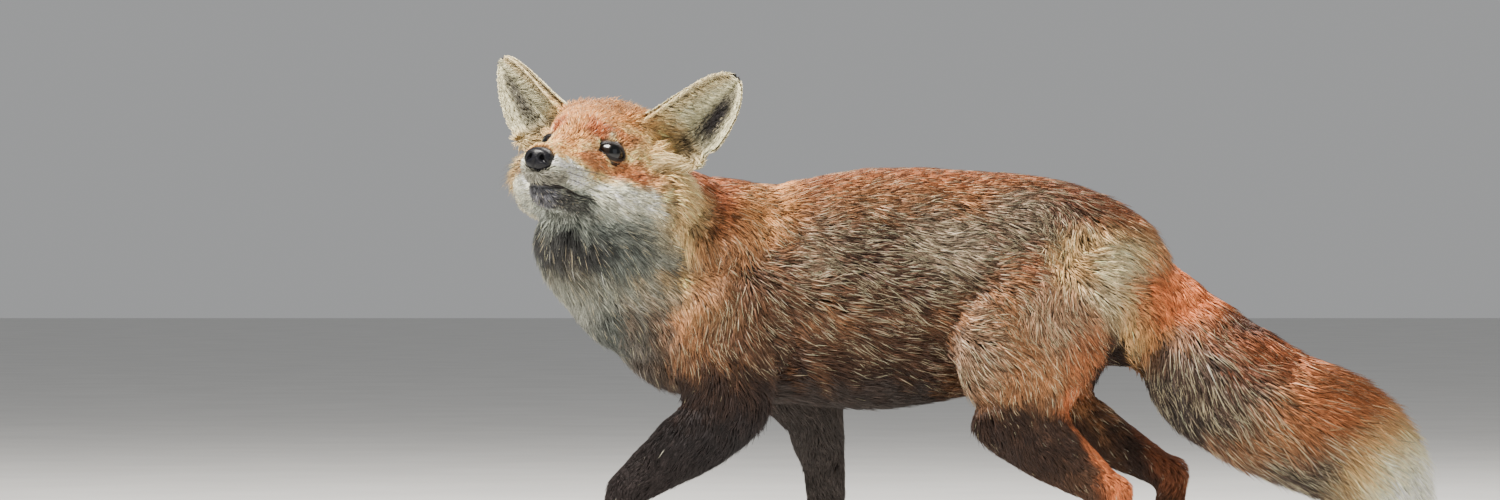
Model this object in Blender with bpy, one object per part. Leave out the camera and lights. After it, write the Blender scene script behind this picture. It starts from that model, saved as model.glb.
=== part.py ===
"""A young red fox, life size, standing in mid step with its head turned to its left and raised.

The fox heads along -X, its left side is -Y and +Z is up. Sizes in the tables are millimetres. The flesh
and its coat are first modelled whole, from tapered tubes that are melted into one closed body, and that
body is then parted with thin cuts into the pieces a person would name.
"""

import math

import bmesh
import bpy
import numpy as np
from mathutils import Matrix, Vector

for old in list(bpy.data.objects):
    bpy.data.objects.remove(old, do_unlink=True)

MM = 0.001
GAP = 0.4  # clear space between two pieces that meet
VOXEL = 3.5  # grain of the melted body
CUT_GRAIN = 4  # shortest edge around a cut
BODY_TRIANGLES = 3000

# Where the head is and how it is held.
BROW = Vector((-252.5, -105, 353))  # the point midway between the eyes
HEAD_TURN = math.radians(68)  # from the body's heading towards the fox's left
HEAD_RAISE = math.radians(10)
HEAD_TILT = math.radians(-7)

EYE = dict(forward=-4, aside=22, up=0.5, radius=10.5)
NOSE = dict(forward=72, up=-23.5, half_length=7, half_width=11.6, half_height=9.2)
EAR = dict(forward=-47, aside=60, up=24, length=67, root=9, half_width=30, wall=3.4)
MOUTH = dict(front=-40, corner=-42, corner_forward=6)  # the line between the lips, in the head's own axes
PAW = dict(length=46, half_width=18, height=25)
CLAW = dict(length=10, radius=2.0)

# Each row is x, y, z, half breadth, half depth.
TRUNK = (
    (-196, 0, 222, 36, 34),
    (-175, 0, 222, 54, 63),
    (-145, 0, 232, 66, 80),
    (-110, 0, 236, 73, 87),
    (-70, 0, 238, 78, 92),
    (-30, 0, 240, 80, 97),
    (10, 0, 243, 80, 96),
    (50, 0, 246, 78, 91),
    (90, 0, 249, 76, 85),
    (130, 0, 248, 73, 78),
    (165, 0, 240, 64, 67),
    (195, 0, 228, 50, 52),
    (215, 0, 224, 36, 38),
)
BREAST = (
    (-140, 0, 205, 50, 48),
    (-180, -3, 212, 50, 52),
    (-205, -5, 222, 40, 42),
)
NECK = (
    (-110, 0, 245, 70, 80),
    (-155, -6, 250, 66, 82),
    (-190, -20, 264, 62, 78),
    (-214, -40, 286, 60, 72),
    (-229, -60, 309, 56, 62),
)
THROAT = (
    (-264, -120, 303, 15, 12),
    (-262, -106, 289, 27, 23),
    (-255, -86, 275, 37, 34),
    (-237, -58, 256, 43, 41),
    (-215, -30, 232, 44, 44),
)
TAIL = (
    (200, 0, 232, 30, 30),
    (222, -3, 208, 40, 42),
    (240, -8, 185, 50, 52),
    (286, -18, 150, 56, 57),
    (328, -27, 131, 54, 55),
    (363, -33, 112, 47, 49),
    (388, -37, 82, 34, 36),
    (399, -39, 50, 22, 24),
    (404, -40, 32, 11, 12),
)

# The head's tubes, in the head's own axes: forward, left, up.
SKULL = (
    (-92, 0, 0, 32, 30),
    (-72, 0, 4, 45, 39),
    (-50, 0, 6, 49, 41),
    (-30, 0, 5, 44, 38),
    (-12, 0, 1, 35, 33),
    (4, 0, -5, 27, 28),
    (20, 0, -13, 23, 23.5),
    (38, 0, -20, 19.5, 20),
    (56, 0, -25, 17, 17),
    (70, 0, -26.5, 15, 15),
)
JAW = (
    (-35, 0, -42, 28, 20),
    (0, 0, -43, 21, 17),
    (30, 0, -44, 15.5, 14),
    (54, 0, -44.5, 12.5, 12.5),
)
CHEEK = (
    (10, 12, -37, 12, 11),
    (-8, 24, -35, 19, 17),
    (-28, 36, -32, 24, 22),
    (-48, 46, -29, 26, 26),
    (-72, 52, -25, 19, 22),
)

# Each leg: the shoulder or thigh, the forearm or shank, the pastern or metatarsus, and where the paw is.
LEGS = {
    "left_fore": dict(
        upper=((-135, -46, 262, 22, 40), (-142, -60, 225, 25, 46), (-140, -65, 185, 26, 42), (-132, -64, 152, 25, 35)),
        lower=((-130, -64, 154, 24, 33), (-165, -64, 122, 20, 28), (-195, -63, 100, 16.5, 21), (-217, -62, 84, 15, 16.5)),
        foot=((-217, -62, 86, 14.5, 16), (-226, -62, 55, 13.5, 14.5), (-234, -62, 26, 15, 16)),
        paw=(-240, -62),
    ),
    "right_fore": dict(
        upper=((-125, 44, 262, 22, 40), (-118, 58, 225, 25, 46), (-95, 62, 185, 26, 40), (-76, 61, 154, 24, 32)),
        lower=((-74, 61, 158, 24, 30), (-66, 61, 125, 19, 23), (-60, 60, 95, 15.5, 17.5), (-58, 60, 68, 14.5, 16)),
        foot=((-58, 60, 72, 14.5, 16), (-62, 60, 45, 13.5, 14.5), (-67, 60, 26, 15, 16)),
        paw=(-73, 60),
    ),
    "left_hind": dict(
        upper=((150, -36, 272, 24, 48), (125, -54, 240, 30, 62), (98, -64, 200, 33, 62), (86, -67, 165, 31, 50)),
        lower=((82, -67, 150, 27, 38), (112, -65, 120, 21, 29), (140, -62, 98, 17, 21), (168, -60, 79, 13.5, 13.5)),
        foot=((172, -60, 86, 12.5, 14), (164, -60, 58, 12.5, 13), (152, -60, 26, 14, 15)),
        paw=(143, -60),
    ),
    "right_hind": dict(
        upper=((155, 36, 272, 24, 48), (135, 54, 240, 30, 60), (118, 62, 200, 32, 58), (112, 65, 168, 29, 46)),
        lower=((110, 65, 158, 25, 34), (150, 64, 130, 20, 26), (185, 62, 110, 16, 19), (218, 60, 92, 13.5, 13.5)),
        foot=((223, 60, 98, 12.5, 14), (219, 60, 64, 12.5, 13), (210, 60, 26, 14, 15)),
        paw=(202, 60),
    ),
}

COATS = {  # colour, roughness
    "rust": ((0.42, 0.16, 0.06), 0.9),
    "grizzle": ((0.34, 0.21, 0.13), 0.9),
    "cream": ((0.62, 0.55, 0.43), 0.9),
    "stocking": ((0.045, 0.03, 0.028), 0.85),
    "horn": ((0.03, 0.026, 0.024), 0.4),
    "wet": ((0.012, 0.012, 0.014), 0.15),
}


def head_axes():
    """The head's own axes as columns: forward, left, up."""
    forward = Vector(
        (
            -math.cos(HEAD_TURN) * math.cos(HEAD_RAISE),
            -math.sin(HEAD_TURN) * math.cos(HEAD_RAISE),
            math.sin(HEAD_RAISE),
        )
    )
    left = Vector((math.sin(HEAD_TURN), -math.cos(HEAD_TURN), 0))
    turn = Matrix.Rotation(HEAD_TILT, 3, forward)
    left = turn @ left
    up = forward.cross(left)
    return Matrix((forward, left, up)).transposed()


HEAD = Matrix.Translation(BROW) @ head_axes().to_4x4()


def object_of(name, mesh):
    made = bpy.data.objects.new(name, mesh)
    bpy.context.scene.collection.objects.link(made)
    return made


def from_bmesh(name, mesh):
    data = bpy.data.meshes.new(name)
    mesh.to_mesh(data)
    mesh.free()
    return object_of(name, data)


def spline(rows, step):
    """The rows, with new ones blended in between so that they are about step apart."""
    rows = np.array(rows, float)
    along = np.concatenate([[0], np.cumsum(np.linalg.norm(np.diff(rows[:, :3], axis=0), axis=1))])
    slope = np.gradient(rows, along, axis=0)
    at = np.linspace(0, along[-1], max(2, int(along[-1] / step) + 1))
    k = np.clip(np.searchsorted(along, at, side="right") - 1, 0, len(rows) - 2)
    width = (along[k + 1] - along[k])[:, None]
    t = (at - along[k])[:, None] / width
    return (
        (2 * t**3 - 3 * t**2 + 1) * rows[k]
        + (t**3 - 2 * t**2 + t) * width * slope[k]
        + (3 * t**2 - 2 * t**3) * rows[k + 1]
        + (t**3 - t**2) * width * slope[k + 1]
    )


def tube(rows, up=(0, 0, 1), sides=20, step=7, cap=0.7, boxy=2.0, keel=0.0, grow=0.0, rounds=(0.5, 1.0, 1.35)):
    """A closed tube with rounded ends through rows of x, y, z, half breadth, half depth.

    up is the way that depth is measured, boxy over 2 squares the section, keel narrows its underside.
    """
    rows = spline(rows, step)
    rows[:, 3:] += grow
    path = rows[:, :3]
    tangent = np.gradient(path, axis=0)
    tangent /= np.linalg.norm(tangent, axis=1)[:, None]
    rings = [(c, t, w, h, 1.0, 0.0) for c, t, (w, h) in zip(path, tangent, rows[:, 3:])]
    for end, way in ((0, -1), (-1, 1)):
        c, t, w, h = path[end], tangent[end], *rows[end, 3:]
        reach = cap * min(w, h)
        extra = [(c, t, w, h, math.cos(a), way * reach * math.sin(a)) for a in rounds]
        rings = extra[::-1] + rings if way < 0 else rings + extra
    mesh = bmesh.new()
    loops = []
    for c, t, w, h, share, shift in rings:
        side = np.cross(t, up)
        side /= np.linalg.norm(side)
        top = np.cross(side, t)
        loop = []
        for k in range(sides):
            a = 2 * math.pi * k / sides
            across = math.copysign(abs(math.cos(a)) ** (2 / boxy), math.cos(a))
            deep = math.copysign(abs(math.sin(a)) ** (2 / boxy), math.sin(a))
            across *= 1 + keel * min(deep, 0)
            loop.append(mesh.verts.new(c + t * shift + side * across * w * share + top * deep * h * share))
        loops.append(loop)
    for one, two in zip(loops, loops[1:]):
        for k in range(sides):
            n = (k + 1) % sides
            mesh.faces.new((one[k], one[n], two[n], two[k]))
    mesh.faces.new(loops[0][::-1])
    mesh.faces.new(loops[-1])
    bmesh.ops.recalc_face_normals(mesh, faces=mesh.faces)
    return mesh


def add(target, part, matrix=None):
    """Moves the faces of part into target."""
    if matrix is not None:
        bmesh.ops.transform(part, matrix=matrix, verts=part.verts)
    data = bpy.data.meshes.new("part")
    part.to_mesh(data)
    part.free()
    target.from_mesh(data)
    bpy.data.meshes.remove(data)


def toes(paw):
    """(x, y, half length) of the four toes of a paw whose centre is at paw."""
    x, y = paw
    for aside, ahead in ((-1.5, 0), (-0.5, 1), (0.5, 1), (1.5, 0)):
        yield x - 11 - 7 * ahead, y + aside * PAW["half_width"] * 0.52, 11


def hull(mesh):
    """The closest convex shape around mesh."""
    made = bmesh.ops.convex_hull(mesh, input=mesh.verts)
    loose = {g for g in made["geom_interior"] + made["geom_unused"] if isinstance(g, bmesh.types.BMVert)}
    bmesh.ops.delete(mesh, geom=list(loose), context="VERTS")
    keep = {f for f in made["geom"] if isinstance(f, bmesh.types.BMFace)}
    bmesh.ops.delete(mesh, geom=[f for f in mesh.faces if f not in keep], context="FACES_ONLY")
    bmesh.ops.recalc_face_normals(mesh, faces=mesh.faces)
    return mesh


def paw_tubes(target, paw):
    x, y = paw
    wide, high = PAW["half_width"], PAW["height"]
    ball = ((x + 12, y, 9, wide * 0.72, 12.5), (x - 2, y, 8, wide * 0.92, 12.5), (x - 10, y, 7, wide * 0.85, 11.5))
    add(target, tube(ball, step=4, cap=0.6))
    for tx, ty, half in toes(paw):
        toe = ((tx + half, ty, 8, 5.6, 10), (tx, ty, 6, 6.0, 10), (tx - half * 0.7, ty, 4.5, 5.6, 8.5))
        add(target, tube(toe, step=4, cap=0.8, sides=12))


def mirrored(rows, side):
    return tuple((x, side * y, *rest) for x, y, *rest in rows)


def whole_body():
    """The fox's flesh and coat as one mesh of overlapping tubes, in millimetres."""
    body = bmesh.new()
    add(body, tube(TRUNK, keel=0.16))
    add(body, tube(BREAST))
    add(body, tube(NECK))
    add(body, tube(THROAT))
    add(body, tube(TAIL, up=(0.6, 0, 0.8)))
    add(body, tube(SKULL, step=4, boxy=2.2, cap=0.5, keel=-0.26), HEAD)
    add(body, tube(JAW, step=4, boxy=2.2), HEAD)
    for side in (-1, 1):
        add(body, tube(mirrored(CHEEK, side), step=4), HEAD)
    for leg in LEGS.values():
        for rows in (leg["upper"], leg["lower"], leg["foot"]):
            add(body, tube(rows, up=(1, 0, 0), step=5))
        paw_tubes(body, leg["paw"])
    return body


def evaluated(obj):
    """Makes the object's modifiers its own mesh."""
    graph = bpy.context.evaluated_depsgraph_get()
    data = bpy.data.meshes.new_from_object(obj.evaluated_get(graph))
    obj.modifiers.clear()
    obj.data = data
    return obj


def weigh(obj, name, weight_of):
    group = obj.vertex_groups.new(name=name)
    for v in obj.data.vertices:
        group.add([v.index], weight_of(v.co), "REPLACE")
    return group.name


def ramp(value, low, high):
    return min(max((value - low) / (high - low), 0), 1)


def fineness(co):
    """1 on the muzzle and the feet, 0 on the rest of the body."""
    ahead = (HEAD.inverted() @ co).x
    head = ramp(ahead, -35, 15) * (co.z > 240)
    foot = 0.8 * ramp(-co.z, -60, -35) * (co.x < 250)
    return max(head, foot)


def melted(body):
    """The tubes melted into one closed body, smoothed least on the face and feet, and thinned out."""
    data = bpy.data.meshes.new("fox")
    body.to_mesh(data)
    body.free()
    fox = object_of("fox", data)
    melt = fox.modifiers.new("melt", "REMESH")
    melt.mode, melt.voxel_size = "VOXEL", VOXEL
    evaluated(fox)
    broad = weigh(fox, "broad", lambda co: 1 - 0.85 * fineness(co))
    smooth = fox.modifiers.new("smooth", "SMOOTH")
    smooth.factor, smooth.iterations, smooth.vertex_group = 0.5, 18, broad
    evaluated(fox)
    fox.vertex_groups.clear()
    coarse = weigh(fox, "coarse", lambda co: 1 - 0.75 * fineness(co))
    thin = fox.modifiers.new("thin", "DECIMATE")
    thin.ratio = BODY_TRIANGLES / (2 * len(fox.data.polygons))
    thin.vertex_group, thin.vertex_group_factor = coarse, 1.0
    thin.use_collapse_triangulate = True
    evaluated(fox)
    fox.vertex_groups.clear()
    print("melted body has", len(fox.data.polygons), "triangles")
    return fox


def bisected(mesh, point, normal):
    """Keeps the side of mesh that normal points to, and closes the cut with few triangles."""
    cut = bmesh.ops.bisect_plane(
        mesh,
        geom=mesh.verts[:] + mesh.edges[:] + mesh.faces[:],
        plane_co=point,
        plane_no=normal,
        clear_inner=True,
    )
    rim = [v for v in cut["geom_cut"] if isinstance(v, bmesh.types.BMVert)]
    bmesh.ops.remove_doubles(mesh, verts=rim, dist=CUT_GRAIN)
    edges = [e for e in mesh.edges if e.is_boundary]
    bmesh.ops.triangle_fill(mesh, edges=edges, use_beauty=True, use_dissolve=False)
    bmesh.ops.recalc_face_normals(mesh, faces=mesh.faces)


def halved(obj, point, normal, names):
    """Cuts obj across a plane, with a gap: the half that normal points to gets the first name."""
    normal = Vector(normal).normalized()
    made = []
    for name, way in zip(names, (1, -1)):
        part = bmesh.new()
        part.from_mesh(obj.data)
        bisected(part, Vector(point) + normal * way * GAP / 2, normal * way)
        made.append(from_bmesh(name, part))
    bpy.data.objects.remove(obj)
    return made


def carve(obj, cutter, operation="DIFFERENCE"):
    boolean = obj.modifiers.new("carve", "BOOLEAN")
    boolean.object, boolean.operation, boolean.solver = cutter, operation, "EXACT"
    return evaluated(obj)


def copy_of(obj, name):
    twin = obj.copy()
    twin.data = obj.data.copy()
    twin.name = name
    bpy.context.scene.collection.objects.link(twin)
    return twin


def swollen(obj, by):
    """A copy of obj, grown by that distance along its normals."""
    twin = copy_of(obj, "swollen")
    normals = [v.normal.copy() for v in twin.data.vertices]
    for v, n in zip(twin.data.vertices, normals):
        v.co += n * by
    return twin


def loose_parts(obj):
    """One object for each closed body of obj, the largest first."""
    mesh = bmesh.new()
    mesh.from_mesh(obj.data)
    left = set(mesh.verts)
    islands = []
    while left:
        reach, island = [left.pop()], set()
        while reach:
            v = reach.pop()
            island.add(v)
            for e in v.link_edges:
                w = e.other_vert(v)
                if w in left:
                    left.remove(w)
                    reach.append(w)
        islands.append({v.index for v in island})
    mesh.free()
    made = []
    for island in sorted(islands, key=len, reverse=True):
        part = bmesh.new()
        part.from_mesh(obj.data)
        bmesh.ops.delete(part, geom=[v for v in part.verts if v.index not in island], context="VERTS")
        data = bpy.data.meshes.new("loose")
        part.to_mesh(data)
        part.free()
        made.append(object_of("loose", data))
    bpy.data.objects.remove(obj)
    return made


def largest(obj):
    """Drops the crumbs that a cut left beside the largest body of obj."""
    name = obj.name
    bits = loose_parts(obj)
    for bit in bits[1:]:
        print("dropped a crumb of", name, "with", len(bit.data.vertices), "vertices")
        bpy.data.objects.remove(bit)
    bits[0].name = name
    return bits[0]


def middle(obj):
    return sum((v.co for v in obj.data.vertices), Vector()) / len(obj.data.vertices)


def eye_ball(name, side, radius):
    mesh = bmesh.new()
    bmesh.ops.create_uvsphere(mesh, u_segments=12, v_segments=8, radius=radius)
    place = HEAD @ Vector((EYE["forward"], side * EYE["aside"], EYE["up"]))
    bmesh.ops.translate(mesh, vec=place, verts=mesh.verts)
    return from_bmesh(name, mesh)


def nose_pad(name, grow=0.0):
    """The bare nose: a rounded pad with its two nostrils."""
    f, u = NOSE["forward"], NOSE["up"]
    wide, high, long = NOSE["half_width"], NOSE["half_height"], NOSE["half_length"]
    rows = ((f - long, 0, u, wide * 0.8, high * 0.85), (f, 0, u, wide, high), (f + long * 0.45, 0, u, wide * 0.9, high * 0.85))
    pad = tube(rows, step=5, sides=14, boxy=2.3, cap=0.45, grow=grow, rounds=(0.7, 1.3))
    bmesh.ops.transform(pad, matrix=HEAD, verts=pad.verts)
    pad = from_bmesh(name, pad)
    if grow:
        return pad
    for side in (-1, 1):
        front = f + long * 0.9
        hole = ((front - 2, side * 4.4, u + 1.2, 2.0, 2.4), (front + 6, side * 6.0, u + 0.4, 2.6, 3.2))
        nostril = tube(hole, step=6, sides=8, rounds=(0.9,))
        bmesh.ops.transform(nostril, matrix=HEAD, verts=nostril.verts)
        cutter = from_bmesh("nostril", nostril)
        carve(pad, cutter)
        bpy.data.objects.remove(cutter)
    return pad


def ear_shell(name, side, splay=0.0):
    """A pointed, scooped ear whose mouth looks forward and a little outward."""
    across, along = 8, 9
    base = Vector((EAR["forward"], side * EAR["aside"], EAR["up"]))
    spread = math.radians(40 + splay)
    axis = Vector((-0.05, side * math.sin(spread), math.cos(spread))).normalized()
    mouth = Vector((0.95, side * 0.25, 0.1))
    mouth = (mouth - axis * mouth.dot(axis)).normalized()
    sideways = axis.cross(mouth) * side  # towards the ear's outer edge
    mesh = bmesh.new()
    rows = []
    for j in range(along + 1):
        t = (j / along) ** 0.85
        wide = EAR["half_width"] * (1 - 0.56 * t) * math.sqrt(1 - t**7) + 1.6
        opening = math.radians(165 - 85 * t)
        radius = wide / math.sin(opening / 2)
        height = EAR["length"] * t - EAR["root"] * (1 - t)
        row = []
        for i in range(across + 1):
            a = (i / across - 0.5) * opening
            deep = radius * (math.cos(a) - math.cos(opening / 2))
            row.append(mesh.verts.new(base + axis * height + sideways * radius * math.sin(a) - mouth * (deep - 4)))
        rows.append(row)
    for one, two in zip(rows, rows[1:]):
        for k in range(across):
            mesh.faces.new((one[k], one[k + 1], two[k + 1], two[k]))
    bmesh.ops.transform(mesh, matrix=HEAD, verts=mesh.verts)
    ear = from_bmesh(name, mesh)
    wall = ear.modifiers.new("wall", "SOLIDIFY")
    wall.thickness, wall.offset, wall.use_even_offset = EAR["wall"], 0, True
    evaluated(ear)
    mesh = bmesh.new()
    mesh.from_mesh(ear.data)
    bmesh.ops.recalc_face_normals(mesh, faces=mesh.faces)
    mesh.to_mesh(ear.data)
    mesh.free()
    return ear


def jaw_block(grow):
    """The space that the lower jaw fills, back to the corners of the mouth."""
    back, front = MOUTH["corner_forward"] - grow, 90
    corners = (
        (back, MOUTH["corner"] + grow),
        (back, MOUTH["corner"] - 12 - grow),
        (40, -64 - grow),
        (front, -80 - grow),
        (front, MOUTH["front"] + grow),
    )
    mesh = bmesh.new()
    for f, u in corners:
        for side in (-1, 1):
            mesh.verts.new((f, side * 40, u))
    hull(mesh)
    bmesh.ops.transform(mesh, matrix=HEAD, verts=mesh.verts)
    return from_bmesh("jaw block", mesh)


def claws_of(leg, paw):
    """Four short curved claws, one at the tip of each toe."""
    for k, (x, y, half) in enumerate(toes(paw), 1):
        tip = x - half * 0.7 - 4
        r = CLAW["radius"]
        rows = (
            (tip + 5, y, 9, r * 0.7, r),
            (tip - 1.5, y, 9, r * 0.62, r * 0.85),
            (tip - 8, y, 4.2, r * 0.16, r * 0.2),
        )
        yield from_bmesh(f"{leg}_claw_{k}", tube(rows, step=5, sides=5, cap=0.3, rounds=(0.9,)))


def paint(obj, coat):
    colour, roughness = COATS[coat]
    material = bpy.data.materials.get(coat) or bpy.data.materials.new(coat)
    material.use_nodes = True
    shader = material.node_tree.nodes["Principled BSDF"]
    shader.inputs["Base Color"].default_value = (*colour, 1)
    shader.inputs["Roughness"].default_value = roughness
    obj.data.materials.clear()
    obj.data.materials.append(material)


def flatten_soles(fox):
    """Cuts the body off at the floor, so that each paw stands on a flat."""
    mesh = bmesh.new()
    mesh.from_mesh(fox.data)
    bisected(mesh, (0, 0, 0), (0, 0, 1))
    mesh.to_mesh(fox.data)
    mesh.free()


def part_legs(fox):
    """Cuts each leg out of the body: a shoulder or thigh, a lower leg and a foot. Returns what is left."""
    for name, leg in LEGS.items():
        scoop = from_bmesh("scoop", hull(tube(leg["upper"], up=(1, 0, 0), sides=8, step=38, cap=0.6, grow=11, rounds=(0.9,))))
        wider = swollen(scoop, GAP * 1.2)
        largest(carve(copy_of(fox, f"{name}_upper"), scoop, "INTERSECT"))
        fox = carve(fox, wider)
        bpy.data.objects.remove(scoop)
        bpy.data.objects.remove(wider)
        parts = loose_parts(fox)
        paw = Vector((*leg["paw"], 20))
        fox = parts[0]
        lower = min(parts[1:], key=lambda o: (middle(o) - paw).length)
        for bit in parts[1:]:
            if bit is not lower:
                bpy.data.objects.remove(bit)
        ankle, toe = Vector(leg["lower"][-1][:3]), Vector(leg["foot"][-1][:3])
        way = (ankle - Vector(leg["lower"][-2][:3])).normalized() + (toe - ankle).normalized()
        halved(lower, ankle, way, (f"{name}_foot", f"{name}_lower"))
    return fox


def main():
    fox = melted(whole_body())
    flatten_soles(fox)
    fox = part_legs(fox)
    front, trunk = halved(fox, (-182, -5, 266), (-0.73, 0, 0.68), ("front", "back"))
    head, neck = halved(front, HEAD @ Vector((-70, 0, -10)), (-0.5, -0.74, 0.43), ("head", "neck"))
    tail, trunk = halved(trunk, (222, 0, 226), (0.92, 0, -0.39), ("tail", "trunk"))
    outer, root = halved(tail, (268, -14, 162), (0.85, -0.2, -0.5), ("tail_outer", "tail_root"))
    halved(outer, (358, -32, 115), (0.8, -0.15, -0.6), ("tail_tip", "tail_middle"))
    bpy.context.view_layer.update()
    for side, name in ((1, "left"), (-1, "right")):
        socket = eye_ball("socket", side, EYE["radius"] + GAP)
        carve(head, socket)
        bpy.data.objects.remove(socket)
        eye_ball(f"{name}_eye", side, EYE["radius"])
    block = jaw_block(0)
    largest(carve(copy_of(head, "lower_jaw"), block, "INTERSECT"))
    bpy.data.objects.remove(block)
    block = jaw_block(GAP)
    head = largest(carve(head, block))
    bpy.data.objects.remove(block)
    bed = nose_pad("bed", grow=GAP)
    head = largest(carve(head, bed))
    bpy.data.objects.remove(bed)
    nose_pad("nose")
    blockers = [swollen(head, GAP), swollen(bpy.data.objects["neck"], GAP)]
    for side, name, splay in ((1, "left", -1), (-1, "right", 3)):
        ear = ear_shell(f"{name}_ear", side, splay)
        for blocker in blockers:
            carve(ear, blocker)
        largest(ear)
    for blocker in blockers:
        bpy.data.objects.remove(blocker)
    for name, leg in LEGS.items():
        foot = bpy.data.objects[f"{name}_foot"]
        for claw in claws_of(name, leg["paw"]):
            socket = swollen(claw, GAP * 1.2)
            carve(foot, socket)
            bpy.data.objects.remove(socket)
    finish()


def coat_of(name):
    if "eye" in name or name == "nose":
        return "wet"
    if "claw" in name:
        return "horn"
    if "foot" in name or "lower" in name or "ear" in name:
        return "stocking"
    if name == "tail_tip":
        return "cream"
    return "grizzle" if name in ("trunk", "tail_root", "tail_middle") or "upper" in name else "rust"


def finish():
    """Puts the origin on the floor under the middle of the fox, in metres, and gives each piece its coat."""
    made = list(bpy.data.objects)
    points = np.array([v.co for o in made for v in o.data.vertices])
    low, high = points.min(axis=0), points.max(axis=0)
    middle_x, middle_y = (low[:2] + high[:2]) / 2
    place = Matrix.Scale(MM, 4) @ Matrix.Translation((-middle_x, -middle_y, -low[2]))
    for obj in made:
        obj.data.transform(place)
        paint(obj, coat_of(obj.name))
    print("origin is", round(middle_x, 2), round(middle_y, 2), round(low[2], 2), "in the tables' millimetres")
    print(len(made), "pieces")


main()
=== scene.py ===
import itertools
import math

import bmesh
import bpy
import numpy as np
from mathutils import Matrix, Vector, kdtree
from mathutils.bvhtree import BVHTree


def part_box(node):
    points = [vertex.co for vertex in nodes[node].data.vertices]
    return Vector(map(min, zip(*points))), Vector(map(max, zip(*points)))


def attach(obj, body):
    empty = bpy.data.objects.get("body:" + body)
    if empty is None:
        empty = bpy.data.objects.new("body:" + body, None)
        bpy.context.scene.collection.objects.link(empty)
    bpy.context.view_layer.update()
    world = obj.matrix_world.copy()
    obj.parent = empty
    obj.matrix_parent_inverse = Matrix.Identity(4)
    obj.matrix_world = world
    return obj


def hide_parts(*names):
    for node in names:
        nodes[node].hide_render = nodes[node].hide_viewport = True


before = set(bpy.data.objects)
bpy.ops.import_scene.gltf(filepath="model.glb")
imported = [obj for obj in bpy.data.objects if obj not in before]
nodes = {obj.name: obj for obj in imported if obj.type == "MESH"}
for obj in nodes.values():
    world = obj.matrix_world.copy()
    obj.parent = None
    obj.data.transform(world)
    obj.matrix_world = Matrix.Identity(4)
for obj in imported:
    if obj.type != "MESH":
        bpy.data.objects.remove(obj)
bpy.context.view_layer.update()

rng = np.random.default_rng(12)
mm = 0.001
print("frame loaded,", len(nodes), "nodes")


def activate(obj):
    bpy.ops.object.select_all(action="DESELECT")
    obj.select_set(True)
    bpy.context.view_layer.objects.active = obj


def applyModifier(obj, kind, **settings):
    activate(obj)
    modifier = obj.modifiers.new(kind.title(), kind)
    for name, value in settings.items():
        setattr(modifier, name, value)
    bpy.ops.object.modifier_apply(modifier=modifier.name)


def smooth(obj, rounds, factor=0.5):
    applyModifier(obj, "SMOOTH", factor=factor, iterations=rounds)


def remesh(obj, grain, rounds):
    applyModifier(obj, "REMESH", mode="VOXEL", voxel_size=grain)
    smooth(obj, rounds)


# An edit mode operator, on all of a mesh.
def editAll(obj, operator, **settings):
    activate(obj)
    bpy.ops.object.mode_set(mode="EDIT")
    bpy.ops.mesh.select_all(action="SELECT")
    operator(**settings)
    bpy.ops.object.mode_set(mode="OBJECT")


def pointsOf(obj, field="co"):
    values = np.empty(len(obj.data.vertices) * 3)
    obj.data.vertices.foreach_get(field, values)
    return values.reshape(-1, 3)


def normalsOf(obj):
    return pointsOf(obj, "normal")


def movePoints(obj, points):
    obj.data.vertices.foreach_set("co", np.ascontiguousarray(points).ravel())
    obj.data.update()


def newObject(name, data):
    made = bpy.data.objects.new(name, data)
    bpy.context.scene.collection.objects.link(made)
    return made


# An object of rings of vertices that are joined by quads.
def fromRings(name, mesh, rings, capped=False):
    for one, two in zip(rings, rings[1:]):
        for i in range(len(one)):
            k = (i + 1) % len(one)
            mesh.faces.new((one[i], one[k], two[k], two[i]))
    if capped:
        caps = [mesh.faces.new(reversed(rings[0])), mesh.faces.new(rings[-1])]
        bmesh.ops.triangulate(mesh, faces=caps)
    bmesh.ops.recalc_face_normals(mesh, faces=mesh.faces)
    data = bpy.data.meshes.new(name)
    mesh.to_mesh(data)
    mesh.free()
    return newObject(name, data)


def finishPiece(piece, material, replaced=()):
    piece.data.materials.clear()
    piece.data.materials.append(material)
    for polygon in piece.data.polygons:
        polygon.use_smooth = True
    if replaced:
        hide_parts(*replaced)
    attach(piece, "root")
    return piece


def smoothStep(value, low, high):
    t = np.clip((value - low) / (high - low), 0, 1)
    return t * t * (3 - 2 * t)


def unit(vectors):
    return vectors / np.maximum(np.linalg.norm(vectors, axis=-1, keepdims=True), 1e-9)


def lengthOf(vectors):
    return np.linalg.norm(vectors, axis=-1)


# What is left of vectors without their part along others.
def squareTo(vectors, others):
    return vectors - others * (vectors * others).sum(axis=1, keepdims=True)


def bell(value, middle, width):
    return np.exp(-(((value - middle) / width) ** 2))


# The point at those shares of the way across a node's box.
def inBox(node, a, b, c):
    low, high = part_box(node)
    return Vector([low[i] + (high[i] - low[i]) * share for i, share in enumerate((a, b, c))])


# The head's own axes, forward, left and up, from the eyes and the nose.
headShape = dict(
    noseAhead=76 * mm,  # of the middle of the eyes
    noseBelow=24 * mm,
    bridgeDip=10.5 * mm,  # how far the bridge of the muzzle falls at its sides
    bridgeAt=(37, 18),  # where it falls most and half how long that is, forward in millimetres
    cornerDent=5 * mm,  # how far the face draws in before the eyes' inner corners
    cornerAt=(15, 21, -1),  # where it does so, forward, aside and up in millimetres
    cornerSize=8.5,  # and how far round there
    bareNose=(9 * mm, 12.5 * mm, 10 * mm),  # half sizes of the bare skin round the nose
    eyeAhead=-4 * mm,  # the eyes' middle in the head's axes
    eyeAbove=0.5 * mm,
)
eyeMiddle = (inBox("left_eye", 0.5, 0.5, 0.5) + inBox("right_eye", 0.5, 0.5, 0.5)) / 2
headLeft = (inBox("left_eye", 0.5, 0.5, 0.5) - inBox("right_eye", 0.5, 0.5, 0.5)).normalized()
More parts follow.
